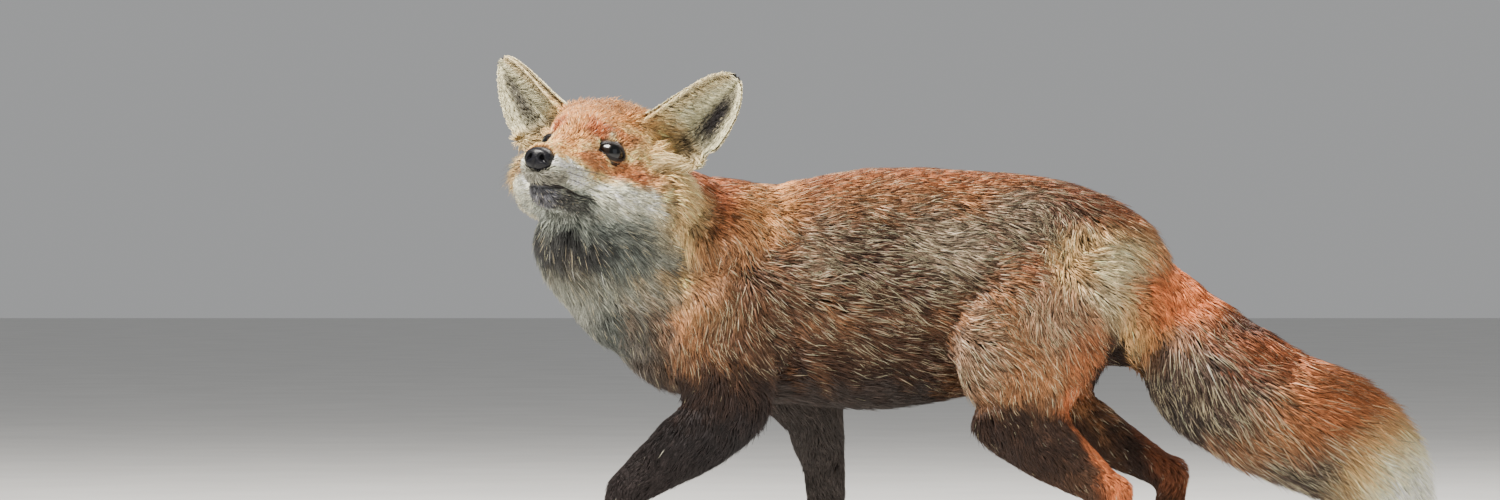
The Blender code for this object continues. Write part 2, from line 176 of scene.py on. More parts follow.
toNose = inBox("nose", 0.5, 0.5, 0.5) - eyeMiddle
toNose = (toNose - headLeft * toNose.dot(headLeft)).normalized()
overNose = toNose.cross(headLeft)
slant = math.atan2(headShape["noseBelow"], headShape["noseAhead"])
headForward = toNose * math.cos(slant) + overNose * math.sin(slant)
headUp = headForward.cross(headLeft)
headOrigin = eyeMiddle - headForward * headShape["eyeAhead"] - headUp * headShape["eyeAbove"]
headAxes = Matrix((headForward, headLeft, headUp)).transposed()
headPlace = Matrix.Translation(headOrigin) @ headAxes.to_4x4()
axesArray = np.array(headAxes)


# Points in the head's own axes.
def inHead(points):
    return (np.asarray(points) - np.array(headOrigin)) @ axesArray


def fromHead(points):
    return np.asarray(points) @ axesArray.T + np.array(headOrigin)


def headPoint(forward, left, up):
    return headPlace @ Vector((forward * mm, left * mm, up * mm))


def headWay(forward, left, up):
    return axesArray @ np.array([forward, left, up])


# The lie of the coat. Each run goes the way the hair lies, from its start to its end, with the coat's
# depth and the tufts' length and width in millimetres, how many there are to a square centimetre, and
# how far the hair droops.
runs = []


def addRun(region, start, end, depth, length, width, count, droop=0.0):
    start, end = np.array(start), np.array(end)
    runs.append((region, start, end, unit(end - start) - [0, 0, droop], depth, length, width, count))


# The head's runs, in its axes and on both sides, apart from those on the middle line.
headRuns = (
    ("face", (72, 0, -12), (20, 0, 8), 1, 5.5, 0.6, 120),  # bridge of the muzzle
    ("face", (64, 13, -26), (14, 24, -24), 1.3, 7, 0.6, 130),
    ("face", (66, 9, -36), (22, 20, -36), 1.3, 8, 0.65, 120),  # upper lip
    ("face", (20, 6, 10), (-24, 9, 36), 2, 9, 0.65, 125),  # forehead
    ("crown", (-22, 12, 36), (-56, 18, 50), 6, 13, 0.6, 125),
    ("face", (15, 15, -1), (2, 26, 13), 1.2, 6, 0.55, 130),  # over the eye
    ("face", (2, 27, 13), (-28, 42, 22), 1.8, 10, 0.65, 115),
    ("face", (13, 22, -12), (-24, 40, -10), 1.6, 9, 0.65, 120),  # under the eye
    ("cheek", (10, 22, -28), (-34, 50, -24), 3, 15, 0.8, 100),
    ("cheek", (-30, 46, -20), (-80, 66, -32), 6, 23, 0.95, 80),
    ("cheek", (8, 20, -46), (-50, 48, -62), 5.5, 24, 0.95, 80, 0.1),
    ("crown", (-50, 0, 46), (-95, 0, 34), 5.5, 15, 0.75, 95),
    ("cheek", (-25, 42, 16), (-64, 62, 12), 3, 15, 0.8, 100),  # temple
    ("earBase", (-36, 46, 12), (-44, 72, 26), 3, 25, 0.85, 125),  # before the ear's foot
    ("earBase", (-44, 40, 36), (-52, 58, 54), 3, 15, 0.8, 115),  # between the ears
    ("earBase", (-30, 30, 34), (-46, 42, 50), 3.5, 14, 0.7, 120),
    ("earBase", (-46, 58, 4), (-54, 84, -8), 4, 30, 0.95, 110),  # under the ear
    ("earBase", (-44, 56, -14), (-56, 80, -28), 5, 28, 0.95, 100),
    ("chin", (60, 5, -53), (30, 10, -57), 1.5, 7, 0.7, 110),
    ("chin", (25, 0, -58), (-40, 0, -96), 7, 26, 1.1, 70, 0.1),  # throat
)
for region, start, end, *measures in headRuns:
    for side in (1, -1) if start[1] or end[1] else (1,):
        one, two = (headPoint(forward, left * side, up) for forward, left, up in (start, end))
        addRun(region, one, two, *measures)
for side in (0.1, 0.9):  # left, then right
    start = headPoint(-72, (side - 0.5) * -120, -18)
    addRun("neck", start, inBox("trunk", 0.2, side, 0.55), 10, 28, 1.25, 50, 0.25)
addRun("neck", headPoint(-85, 0, 30), inBox("trunk", 0.16, 0.5, 0.93), 8, 23, 1.2, 55)
addRun("neck", headPoint(-20, 0, -85), inBox("trunk", 0.1, 0.5, 0.12), 10, 30, 1.3, 50, 0.2)

# The trunk's runs, from and to a node and the shares along, across and up its box.
trunkRuns = (
    ((0.15, 0.2, 0.6), ("trunk", 0.95, 0.2, 0.62), 8.5, 25, 1.2, 44, 0.25),
    ((0.2, 0.2, 0.28), ("trunk", 0.75, 0.2, 0.3), 8.5, 27, 1.25, 42, 0.35),
    ((0.15, 0.8, 0.6), ("trunk", 0.95, 0.8, 0.62), 8.5, 25, 1.2, 44, 0.25),
    ((0.2, 0.8, 0.28), ("trunk", 0.75, 0.8, 0.3), 8.5, 27, 1.25, 42, 0.35),
    ((0.15, 0.5, 0.95), ("trunk", 0.8, 0.5, 0.97), 7, 23, 1.15, 48),
    ((0.12, 0.5, 0.06), ("trunk", 0.8, 0.5, 0.06), 8, 25, 1.3, 34, 0.1),
    ((0.8, 0.5, 0.9), ("tail_root", 0.3, 0.5, 0.8), 8, 28, 1.25, 46),
    ((0.97, 0.5, 0.3), ("tail_root", 0.2, 0.5, 0.3), 8, 26, 1.3, 38, 0.3),
)
for start, end, *measures in trunkRuns:
    addRun("trunk", inBox("trunk", *start), inBox(*end), *measures)
tailPlaces = (
    ("trunk", 0.97, 0.5, 0.5),
    ("tail_root", 0.45, 0.5, 0.52),
    ("tail_middle", 0.12, 0.55, 0.68),
    ("tail_middle", 0.5, 0.5, 0.46),
    ("tail_tip", 0.18, 0.52, 0.72),
    ("tail_tip", 0.55, 0.4, 0.45),
    ("tail_tip", 0.72, 0.36, 0.12),
)
tailLine = [inBox(*place) for place in tailPlaces]
tailCoat = ((10, 34, 40), (18, 44, 48), (23, 48, 60), (23, 48, 64), (20, 46, 70), (15, 36, 70))
for start, end, (depth, length, count) in zip(tailLine, tailLine[1:], tailCoat):
    addRun("tail", start, end, depth, length, 1.4, count)
legNames = ("left_fore", "right_fore", "left_hind", "right_hind")
legCoat = (
    ("Upper", 7.5, 24, 1.2, 44, 0.2),
    ("Upper", 5.5, 20, 1.15, 48, 0.2),
    ("Lower", 3, 15, 1.0, 58, 0.1),
    ("Lower", 2, 11, 0.9, 66, 0.1),
    ("Lower", 1.5, 8, 0.8, 72),
    ("Lower", 1.5, 6, 0.8, 72),
)
for leg in legNames:
    upper, lower, foot = (f"{leg}_{part}" for part in ("upper", "lower", "foot"))
    knee, ankle = inBox(lower, 0.4, 0.5, 0.9), inBox(foot, 0.8, 0.5, 0.98)
    line = [inBox(upper, 0.6, 0.35 if "left" in leg else 0.65, 0.9), inBox(upper, 0.45, 0.5, 0.45)]
    line += [knee, knee.lerp(ankle, 0.5), ankle, inBox(foot, 0.5, 0.5, 0.25), inBox(foot, 0.0, 0.5, 0.05)]
    for start, end, (half, *measures) in zip(line, line[1:], legCoat):
        addRun(leg + half, start, end, *measures)
regionNames, runStarts, runEnds, runWays, runDepths, runLengths, runWidths, runCounts = (
    np.array(field) for field in zip(*runs)
)
print("coat laid out in", len(runs), "runs")


# How much each run of hair counts at each point, as rows that add up to 1.
def runShares(points, near=4 * mm, falloff=5):
    shares = np.empty((len(points), len(runs)))
    for k, (start, end) in enumerate(zip(runStarts, runEnds)):
        way = end - start
        t = np.clip((points - start) @ way / (way @ way), 0, 1)
        shares[:, k] = 1 / (lengthOf(points - start - t[:, None] * way) + near) ** falloff
    return shares / shares.sum(axis=1, keepdims=True)


# The way the hair lies over the skin at each point, with slow swirls in it.
def flowAt(points, shares, normals):
    x, y, z = (points * 60).T
    swirl = 0.22 * np.sin(x * 1.3 + 2 * z) + 0.16 * np.sin(2.3 * z - 1.7 * x + y)
    swirl += 0.1 * np.sin(5 * x + 4 * y)
    flow = unit(squareTo(shares @ runWays, normals))
    return unit(flow + np.cross(normals, flow) * swirl[:, None])


# Colours of the coat, as linear red, green and blue.
coatColours = dict(
    white=(0.90, 0.90, 0.70),
    cream=(0.80, 0.68, 0.42),
    # The next two are pale fur of the jaw, throat and breast darkened with painted shade, the second deeply.
    shadedWhite=(0.30, 0.32, 0.27),
    shadedWhiteDark=(0.085, 0.10, 0.092),
    buff=(0.76, 0.50, 0.22),
    paleTan=(0.76, 0.38, 0.14),
    ginger=(0.50, 0.21, 0.06),
    flame=(0.66, 0.19, 0.065),
    tan=(0.40, 0.185, 0.08),
    orange=(0.42, 0.13, 0.045),
    rust=(0.33, 0.095, 0.035),
    brown=(0.09, 0.047, 0.030),
    darkBrown=(0.036, 0.020, 0.015),
    grizzle=(0.10, 0.058, 0.043),
    silver=(0.34, 0.25, 0.17),
    grey=(0.075, 0.062, 0.055),
    chinGrey=(0.085, 0.085, 0.10),
    charcoal=(0.020, 0.017, 0.018),
    black=(0.010, 0.008, 0.008),
)
# The head's markings, one over another: colour, middle and half sizes forward, aside and up in
# millimetres, how strong, and how soft its edge is.
headMarks = (
    ("ginger", (-14, 0, 34), (46, 38, 31), 0.95, 0.7),  # forehead
    ("paleTan", (54, 0, -8), (34, 20, 18), 0.95, 0.6),  # bridge of the muzzle
    ("ginger", (26, 0, 10), (24, 20, 14), 0.85, 0.8),
    ("tan", (-22, 16, 38), (20, 22, 10), 0.6, 0.9),
    ("rust", (12, 17, 11), (17, 11, 9), 0.95, 0.8),  # brows
    ("orange", (-12, 31, 10), (16, 11, 7), 0.7, 0.8),
    ("cream", (4, 26, 10), (4, 4, 3), 0.5, 0.8),
    ("buff", (12, 26, -18), (9, 9, 6), 0.7, 0.8),
    ("buff", (-26, 42, 4), (13, 10, 12), 0.8, 0.9),
    ("cream", (-56, 56, -2), (14, 16, 14), 0.8, 0.9),
    ("orange", (20, 20, -12), (21, 9, 8), 0.8, 0.7),  # from the eye's inner corner down the muzzle
    ("orange", (-8, 37, -15), (25, 14, 9), 0.85, 0.7),  # under the eye
    ("rust", (-20, 46, -21), (20, 11, 7), 0.6, 0.9),
    ("darkBrown", (16, 23, 1), (6, 5, 3), 0.8, 0.8),  # the eye's inner corner
    ("white", (54, 14, -32), (34, 22, 14), 1.0, 0.4),  # side of the muzzle and upper lip
    ("white", (2, 36, -39), (46, 30, 14), 0.95, 0.6),  # cheek
    # lower cheek, pale fur with painted shade
    ("shadedWhite", (-20, 40, -62), (80, 50, 22), 0.95, 0.5),
    ("cream", (-52, 60, -42), (26, 30, 20), 0.7, 0.8),
    ("buff", (-66, 70, -30), (30, 30, 34), 0.8, 0.8),
    ("white", (66, 0, -35), (12, 20, 9), 1.0, 0.4),
    ("shadedWhite", (20, 10, -58), (56, 36, 14), 1.0, 0.4),  # jaw, pale fur with painted shade
    # deeper painted shade low on the cheek
    ("shadedWhiteDark", (-10, 34, -66), (40, 26, 14), 0.5, 0.9),
    ("shadedWhiteDark", (-6, 0, -90), (84, 64, 32), 0.9, 0.9),  # throat, pale fur with deep painted shade
    ("grey", (66, 8, -37), (13, 17, 8), 0.8, 0.8),  # painted shade under the nose, over the pale upper lip
    # pale fur with painted shade along the side of the lower lip
    ("shadedWhite", (32, 14, -46), (36, 26, 9), 1.0, 0.4),
    ("chinGrey", (60, 0, -49), (20, 20, 9), 0.95, 0.5),  # chin
    ("charcoal", (34, 16, -49), (24, 16, 7), 0.85, 0.7),  # corner of the mouth
    ("charcoal", (14, 8, -72), (36, 24, 12), 0.85, 0.8),  # painted shadow under the jaw
    ("shadedWhite", (-64, 16, -108), (48, 54, 34), 0.9, 0.9),  # side of the neck, pale fur with painted shade
    ("tan", (-88, 88, -66), (22, 26, 40), 0.85, 0.9),
)
# The body's markings, the same on both sides: colour, the node and the shares along and up its box, half
# sizes along and up in millimetres, how strong, how soft, and how much of it is grizzled.
bodyMarks = (
    ("tan", ("trunk", 0.5, 0.7), (400, 400), 1.0, 0.1, 0.4),
    ("rust", ("trunk", 0.2, 1.0), (90, 44), 0.85, 0.7, 0.12),  # nape
    ("paleTan", ("trunk", 0.27, 0.86), (24, 26), 0.6, 0.9, 0.4),  # top of the shoulder
    ("orange", ("trunk", 0.6, 1.03), (200, 26), 0.85, 0.8, 0.3),  # back
    ("rust", ("trunk", 0.84, 0.92), (50, 30), 0.8, 0.9, 0.1),
    ("brown", ("trunk", 0.26, 0.42), (46, 44), 0.8, 0.9, 0.35),  # shoulder
    # painted shade under the chest
    ("charcoal", ("trunk", 0.2, 0.04), (66, 40), 0.85, 0.8, 0.1),
    ("brown", ("trunk", 0.49, 0.6), (90, 42), 0.95, 0.9, 0.85),  # flank
    ("silver", ("trunk", 0.565, 0.68), (34, 20), 0.9, 0.9, 0.9),
    ("silver", ("trunk", 0.35, 0.66), (16, 26), 0.4, 0.9, 0.7),
    ("grizzle", ("trunk", 0.73, 0.76), (52, 26), 0.8, 0.9, 0.9),  # loin
    ("silver", ("trunk", 0.69, 0.78), (30, 18), 0.5, 0.9, 0.9),
    ("brown", ("trunk", 0.47, 0.26), (84, 32), 0.9, 0.9, 0.4),
    ("silver", ("trunk", 0.63, 0.26), (18, 34), 0.35, 0.9, 0.8),  # in front of the thigh
    ("rust", ("trunk", 0.74, 0.6), (24, 20), 0.5, 0.9, 0.3),
    ("silver", ("trunk", 0.76, 0.44), (28, 30), 0.5, 0.9, 0.8),  # thigh
    ("paleTan", ("trunk", 0.9, 0.42), (20, 36), 0.8, 0.9, 0.1),
    ("buff", ("trunk", 0.82, 0.66), (40, 22), 0.7, 0.9, 0.5),  # rump
    ("cream", ("trunk", 0.85, 0.55), (20, 32), 0.75, 0.9, 0.3),
    ("buff", ("trunk", 0.88, 0.42), (16, 26), 0.6, 0.9, 0.2),
    ("black", ("trunk", 0.45, -0.02), (130, 27), 0.95, 0.8, 0.02),  # belly, dark fur made darker by painted shade
    # painted shade under the rear of the belly
    ("darkBrown", ("trunk", 0.69, -0.08), (70, 34), 0.85, 0.8, 0.1),
    ("orange", ("trunk", 0.81, 0.24), (20, 34), 0.6, 0.9, 0.2),
    ("black", ("trunk", 0.85, 0.22), (11, 40), 0.95, 0.9, 0.05),  # painted shade in the hollow behind the thigh
    ("tan", ("trunk", 0.15, 0.5), (20, 36), 0.6, 0.9, 0.2),  # side of the neck
    ("shadedWhite", ("trunk", -0.05, 0.5), (52, 84), 0.9, 0.8, 0.05),  # breast, pale fur with painted shade
    # deeper painted shade low on the breast
    ("shadedWhiteDark", ("trunk", 0.03, 0.25), (48, 50), 0.8, 0.7, 0.1),
    ("flame", ("tail_root", 0.3, 0.95), (50, 26), 0.95, 0.8, 0.02),
    # painted shade under the tail's root
    ("charcoal", ("tail_root", 0.1, 0.1), (36, 56), 0.9, 0.8, 0.2),
    ("grey", ("tail_root", 0.36, 0.45), (46, 38), 0.85, 0.9, 0.75),
    ("orange", ("tail_root", 0.75, 0.72), (36, 22), 0.75, 0.9, 0.2),
    ("charcoal", ("tail_middle", 0.34, 1.06), (48, 17), 0.85, 0.8, 0.2),
    ("rust", ("tail_middle", 0.38, 0.86), (40, 17), 0.7, 0.9, 0.1),
    ("orange", ("tail_middle", 0.7, 0.66), (54, 34), 0.75, 0.8, 0.1),
    ("grey", ("tail_middle", 0.46, 0.16), (70, 34), 0.95, 0.8, 0.7),
    ("buff", ("tail_tip", 0.4, 0.68), (40, 32), 0.8, 0.8, 0.1),
    ("cream", ("tail_tip", 0.55, 0.6), (34, 32), 0.9, 0.7, 0.0),
    ("white", ("tail_tip", 0.72, 0.28), (48, 60), 1.0, 0.5, 0.0),
)
# The legs' markings: colour, heights over the floor between which it comes in, and how strong.
foreMarks = (("darkBrown", 215, 165, 0.9), ("charcoal", 180, 130, 0.9))
hindMarks = (("darkBrown", 168, 120, 0.85), ("brown", 100, 60, 0.8), ("charcoal", 38, 14, 0.85))


def layOver(colour, share, name):
    return colour + (np.array(coatColours[name]) - colour) * share[:, None]


# 1 inside a mark, falling to 0 over its soft edge, where reach is 1.
def markShare(reach, strength, soft):
    return strength * smoothStep(-reach, -1 - soft / 2, -1 + soft / 2)


# The coat's colour at each point, and how much of it is grizzled.
def markings(points):
    local = inHead(points) / mm
    local[:, 1] = np.abs(local[:, 1])
    side, heights = points[:, [0, 2]], points[:, 2] / mm
    ripple = 0.1 * np.sin(points @ [310, 170, 260]) + 0.08 * np.sin(points @ [-190, 420, 330])
    headColour = np.tile(coatColours["buff"], (len(points), 1))
    for name, middle, half, strength, soft in headMarks:
        reach = lengthOf((local - middle) / half) + ripple
        headColour = layOver(headColour, markShare(reach, strength, soft), name)
    bodyColour = np.tile(coatColours["tan"], (len(points), 1))
    grizzled = np.full(len(points), 0.2)
    for name, (node, along, up), half, strength, soft, pale in bodyMarks:
        middle = inBox(node, along, 0.5, up)
        reach = lengthOf((side - [middle.x, middle.z]) / (np.array(half) * mm)) + ripple
        share = markShare(reach, strength, soft)
        bodyColour = layOver(bodyColour, share, name)
        grizzled += (pale - grizzled) * share
    heights += ripple * 60
    for marks, low, high in ((foreMarks, -9, -0.04), (hindMarks, -0.04, 9)):
        mine = (points[:, 0] >= low) & (points[:, 0] < high) & (points[:, 0] < tailLine[1].x - 0.01)
        for name, top, bottom, strength in marks:
            share = mine * strength * smoothStep(-heights, -top, -bottom)
            bodyColour = layOver(bodyColour, share, name)
            grizzled *= 1 - share
    # The hind legs are bright behind, the right one much less, which is painted shade, and the right fore leg
    # is greyer.
    for leg, brightness in (("left_hind", 0.8), ("right_hind", 0.2)):
        top, heel = (inBox(leg + "_lower", *shares) for shares in ((0.64, 0.5, 1.05), (0.95, 0.5, 0.05)))
        way, away = np.array([heel.x - top.x, heel.z - top.z]), side - [top.x, top.z]
        along = np.clip(away @ way / (way @ way), 0, 1)
        reach = lengthOf(away - along[:, None] * way) / (15 * mm) + ripple
        mine = (points[:, 1] < 0) == ("left" in leg)
        bodyColour = layOver(bodyColour, mine * brightness * smoothStep(-reach, -1.3, -0.5), "flame")
    mine = (points[:, 1] > 0) & (points[:, 0] < -0.04)
    bodyColour = layOver(bodyColour, mine * 0.7 * smoothStep(-heights, -190, -150), "grey")
    share = smoothStep(local[:, 0], -98, -72) * smoothStep(local[:, 2], -114, -88)
    return bodyColour + (headColour - bodyColour) * share[:, None], grizzled * (1 - share) + 0.2 * share


# A closed tube through the points, with rounded ends.
def sweep(name, points, radii, sides):
    points = [Vector(p) for p in points]
    mesh = bmesh.new()
    rings = []
    side = (points[1] - points[0]).normalized().orthogonal()
    for k, (point, radius) in enumerate(zip(points, radii)):
        way = (points[min(k + 1, len(points) - 1)] - points[max(k - 1, 0)]).normalized()
        side = (side - way * side.dot(way)).normalized()
        over = way.cross(side)
        turns = [2 * math.pi * i / sides for i in range(sides)]
        ways = [side * math.cos(turn) + over * math.sin(turn) for turn in turns]
        rings.append([mesh.verts.new(point + way * radius) for way in ways])
    return fromRings(name, mesh, rings, True)


def joinAll(name, pieces):
    activate(pieces[0])
    for piece in pieces:
        piece.select_set(True)
    bpy.ops.object.join()
    pieces[0].name = name
    return pieces[0]


# Copies of CAD nodes, merged, and grown a little so that they run into each other.
def closedCopies(names, grow):
    copies = []
    for name in names:
        piece = newObject(name + "Copy", nodes[name].data.copy())
        piece.data.materials.clear()
        editAll(piece, bpy.ops.mesh.remove_doubles, threshold=1e-6)
        if grow:
            applyModifier(piece, "DISPLACE", strength=grow, mid_level=0)
        copies.append(piece)
    return copies


def surfaceOf(obj):
    faces = [polygon.vertices[:] for polygon in obj.data.polygons]
    return BVHTree.FromPolygons(pointsOf(obj).tolist(), faces)


# The nearest places on a surface, and its normals there.
def nearestOn(surface, points):
    found = [surface.find_nearest(point) for point in points.tolist()]
    return np.array([f[0] for f in found]), np.array([f[1] for f in found])


skinShape = dict(
    outlineGrain=3 * mm,
    grain=2.7 * mm,
    grow=0.4 * mm,
    soleHeight=12 * mm,  # below this the coat thins out to nothing
)
eyeShape = dict(
    radius=12.6 * mm,
    setBack=2.4 * mm,  # of the ball's middle behind the CAD eye's
    aside=1.8 * mm,
    down=2.2 * mm,
    looks=(0.76, 0.62, 0.06),  # the way an eye's opening faces: forward, outward, up
    outer=0.92,  # from the middle of the opening to its corners, as angles in radians
    inner=1.0,
    above=0.39,
    below=0.33,
    tilt=-0.2,  # negative lowers the outer corner
    rim=(0.18, 0.4, 0.26, 0.18),  # bare dark skin beyond the outer and inner corners, above and below
    lidLong=0.55,  # how far the lids run out into the face, as shares of the opening
    lidTall=1.0,
    lidRise=3.5 * mm,  # the most that they rise over the ball to meet the face
    recess=(1.25, 2.4),  # where the face falls back to the eyeball, as shares of the opening
    cover=1.0 * mm,  # of flesh over the eyeball there
    sunk=1.3,  # where the skin is sunk behind the eyeball, as a share of the opening
)
ball = eyeShape["radius"]
bodyNames = [name for name in nodes if "claw" not in name and "ear" not in name]
outlineObject = joinAll("outline", closedCopies(bodyNames, skinShape["grow"]))
remesh(outlineObject, skinShape["outlineGrain"], 6)
outline = surfaceOf(outlineObject)
print("outline made,", len(outlineObject.data.polygons), "faces")

# The skin lies under the outline by the coat's depth, taken off in steps so that thin parts stay whole.
skin = joinAll("skin", closedCopies([name for name in bodyNames if name != "nose"], skinShape["grow"]))
remesh(skin, skinShape["outlineGrain"], 6)
noseMiddle = inHead(np.array(inBox("nose", 0.5, 0.5, 0.5)))
for step in range(3):
    points = pointsOf(skin)
    depth = runShares(points) @ runDepths * mm
    depth *= smoothStep(points[:, 2], 0.002, skinShape["soleHeight"])
    depth *= smoothStep(lengthOf(inHead(points) - noseMiddle), 0.010, 0.020)
    movePoints(skin, points - normalsOf(skin) * (depth / 3)[:, None])
    smooth(skin, 2)
remesh(skin, skinShape["grain"], 3)
print("skin made,", len(skin.data.polygons), "faces")


# An eye's middle, and its axes: out of the head, to the outer corner, and up.
def eyeAxes(side):
    centre = np.array(inBox("left_eye" if side > 0 else "right_eye", 0.5, 0.5, 0.5))
    forward, outward, up = eyeShape["looks"]
    out = unit(headWay(forward, outward * side, up))
    centre = centre - out * eyeShape["setBack"] + headWay(0, side * eyeShape["aside"], -eyeShape["down"])
    corner = unit(np.cross(np.array(headUp), out) * side)
    top = np.cross(out, corner) * side
    c, s = math.cos(eyeShape["tilt"]), math.sin(eyeShape["tilt"])
    return centre, out, corner * c + top * s, top * c - corner * s


# The edge of the opening between the lids, as angles along and over it, or a ring outside it.
def almond(turn, spread=0.0):
    c, s = np.cos(turn), np.sin(turn)
    along = np.where(c > 0, eyeShape["outer"], eyeShape["inner"]) * c
    high = np.where(s > 0, eyeShape["above"], eyeShape["below"])
    over = high * np.sign(s) * np.abs(s) ** np.where(c > 0, 1.15, 1.5)
    return along * (1 + eyeShape["lidLong"] * spread), over * (1 + eyeShape["lidTall"] * spread)


def sphereWay(x, y, axes):
    _, out, corner, top = axes
    level = np.cos(x)[:, None] * out + np.sin(x)[:, None] * corner
    return np.cos(y)[:, None] * level + np.sin(y)[:, None] * top


# How far out points lie from an eye's middle: 1 on the opening's edge, or on its edge with a rim.
def openingShare(points, axes, rim=(0, 0, 0, 0), nearby=4 * mm):
    centre, out, corner, top = axes
    away = points - centre
    x = np.arctan2(away @ corner, away @ out)
    y = np.arctan2(away @ top, np.hypot(away @ out, away @ corner))
    wide = np.where(x > 0, eyeShape["outer"] + rim[0], eyeShape["inner"] + rim[1])
    high = np.where(y > 0, eyeShape["above"] + rim[2], eyeShape["below"] + rim[3])
    power = np.where((x < 0) & (rim[1] > 0), 1.1, 1.6)  # the dark rim ends in a point at the inner corner
    reach = (np.abs(x / wide) ** power + np.abs(y / high) ** power) ** (1 / power)
    near = (away @ out > 0) & (lengthOf(away) < ball + nearby)
    return np.where(near, reach, 9)


# 1 on the bare dark rim of the lids, falling to 0 in the face.
def rimShare(points, axes):
    return smoothStep(-openingShare(points, axes, eyeShape["rim"]), -1.3, -1.02)


# How far out from the opening's edge, and the height over the eyeball in millimetres.
lidProfile = (
    ((0.02, -0.8), (-0.02, 0.1), (-0.02, 0.7), (0.04, 1.2), (0.12, 1.3), (0.24, 1.0))  # the edge
    + ((0.38, 0.8), (0.55, 0.5), (0.75, 0.2), (1.0, -0.4))  # out into the face
    + ((1.0, -3.0), (0.5, -3.5), (0.2, -2.5))  # and back under it
)


# Both lids of an eye in one closed ring: a rounded edge on the eyeball, running out into the face.
def makeLid(name, axes, face):
    mesh = bmesh.new()
    rings = []
    turns = np.linspace(0, 2 * math.pi, 72, endpoint=False)
    for spread, height in lidProfile:
        ring = []
        share = float(smoothStep(spread, 0.15, 0.7))
        for way in sphereWay(*almond(turns, spread), axes):
            hit = face.ray_cast(Vector(axes[0]), Vector(way))
            level = np.clip(hit[3] or ball, ball + 0.4 * mm, ball + eyeShape["lidRise"])
            ring.append(mesh.verts.new(axes[0] + way * (ball * (1 - share) + level * share + height * mm)))
        rings.append(ring)
    lid = fromRings(name, mesh, [*rings, rings[0]])
    smooth(lid, 2, 0.4)
    return lid


# The face falls back to the eyeballs, the lids are laid over them, and the sockets sunk behind them.
eyes = {side: eyeAxes(side) for side in (1, -1)}
points = pointsOf(skin)
local = inHead(points) / mm
aside = np.abs(local[:, 1])
dip = bell(local[:, 0], *headShape["bridgeAt"]) * smoothStep(local[:, 2], -26, -9)
dip *= (0.4 + 0.6 * smoothStep(aside, 1, 11)) * smoothStep(-aside, -27, -17)
points -= np.array(headUp) * (headShape["bridgeDip"] * dip)[:, None]
away = np.stack([local[:, 0], aside, local[:, 2]], axis=1) - headShape["cornerAt"]
dent = np.exp(-(away**2).sum(axis=1) / headShape["cornerSize"] ** 2)
points -= np.array(headLeft) * (headShape["cornerDent"] * dent * np.sign(local[:, 1]))[:, None]
for axes in eyes.values():
    away = points - axes[0]
    distance = lengthOf(away)
    own = smoothStep(openingShare(points, axes, nearby=20 * mm), *eyeShape["recess"])
    own = np.maximum(own, smoothStep(distance, ball + 10 * mm, ball + 19 * mm))
    distance += (ball + eyeShape["cover"] - distance) * (1 - own)
    points = axes[0] + unit(away) * distance[:, None]
movePoints(skin, points)
smooth(skin, 1)
bareSkin = newObject("bareSkin", skin.data.copy())
skinSurface = surfaceOf(bareSkin)
lids = [makeLid("lid", axes, skinSurface) for axes in eyes.values()]
points = pointsOf(skin)
for axes in eyes.values():
    sunk = openingShare(points, axes) < eyeShape["sunk"]
    away = points[sunk] - axes[0]
    depth = np.minimum(lengthOf(away), ball - 2.5 * mm)
    points[sunk] = axes[0] + unit(away) * depth[:, None]
points[:, 2] = np.maximum(points[:, 2], 0)
movePoints(skin, points)

mouthShape = dict(
    front=-40.5 * mm,  # height of the line between the lips, in the head's axes
    corner=-42.5 * mm,
    hub=30 * mm,  # the lips go round this point of the middle line
    end=2.35,  # radians from straight ahead to the corner
    apart=1.5 * mm,
    thick=1.2 * mm,
)


# The height of the line between the lips, at an angle from straight ahead.
def mouthLine(angle):
    share = (np.abs(angle) / mouthShape["end"]) ** 2
    return mouthShape["front"] * (1 - share) + mouthShape["corner"] * share


# The edges of both lips, as slim rolls along that line.
def makeLips(surface):
    made = []
    angles = np.linspace(-mouthShape["end"], mouthShape["end"], 61)
    for over in (0.5, -0.5):
        line = []
        for angle in angles:
            up = mouthLine(angle) + over * mouthShape["apart"]
            way = np.array([math.cos(angle), math.sin(angle), 0])
            start = fromHead(np.array([mouthShape["hub"], 0, up]) + way * 0.09)
            hit = surface.ray_cast(Vector(start), Vector(headWay(*-way)))
            line.append(hit[0] - Vector(headWay(*way)) * 0.2 * mm if hit[0] else line[-1])
        for _ in range(4):
            line = [line[0]] + [(a + b * 2 + c) / 4 for a, b, c in zip(line, line[1:], line[2:])] + [line[-1]]
        thick = [mouthShape["thick"] * (1 - 0.75 * abs(a / mouthShape["end"]) ** 3) for a in angles]
        made.append(sweep("lip", line, thick, 10))
    return made


lips = makeLips(skinSurface)
print("lids and lips made")

earShape = dict(
    base=(-47 * mm, 60 * mm, 24 * mm),
    length={1: 65 * mm, -1: 61 * mm},  # left, right
    root=9 * mm,  # how far its foot goes down into the head
    buried=-0.2,  # and its stem below that, as a share of the length
    halfWidth={1: 29.5 * mm, -1: 26.5 * mm},
    taper={1: 0.56, -1: 0.68},  # how much narrower it is at the tip
    bulge=4.5 * mm,  # of the outer edge
    wall=1.3 * mm,
    scoop=(165, 85),  # degrees that its sheet goes round at the base, and how many fewer at the tip
    facing=0.42,  # how far outwards its mouth looks
    spread={1: 37, -1: 43},  # degrees from upright
    across=18,
    along=26,
)


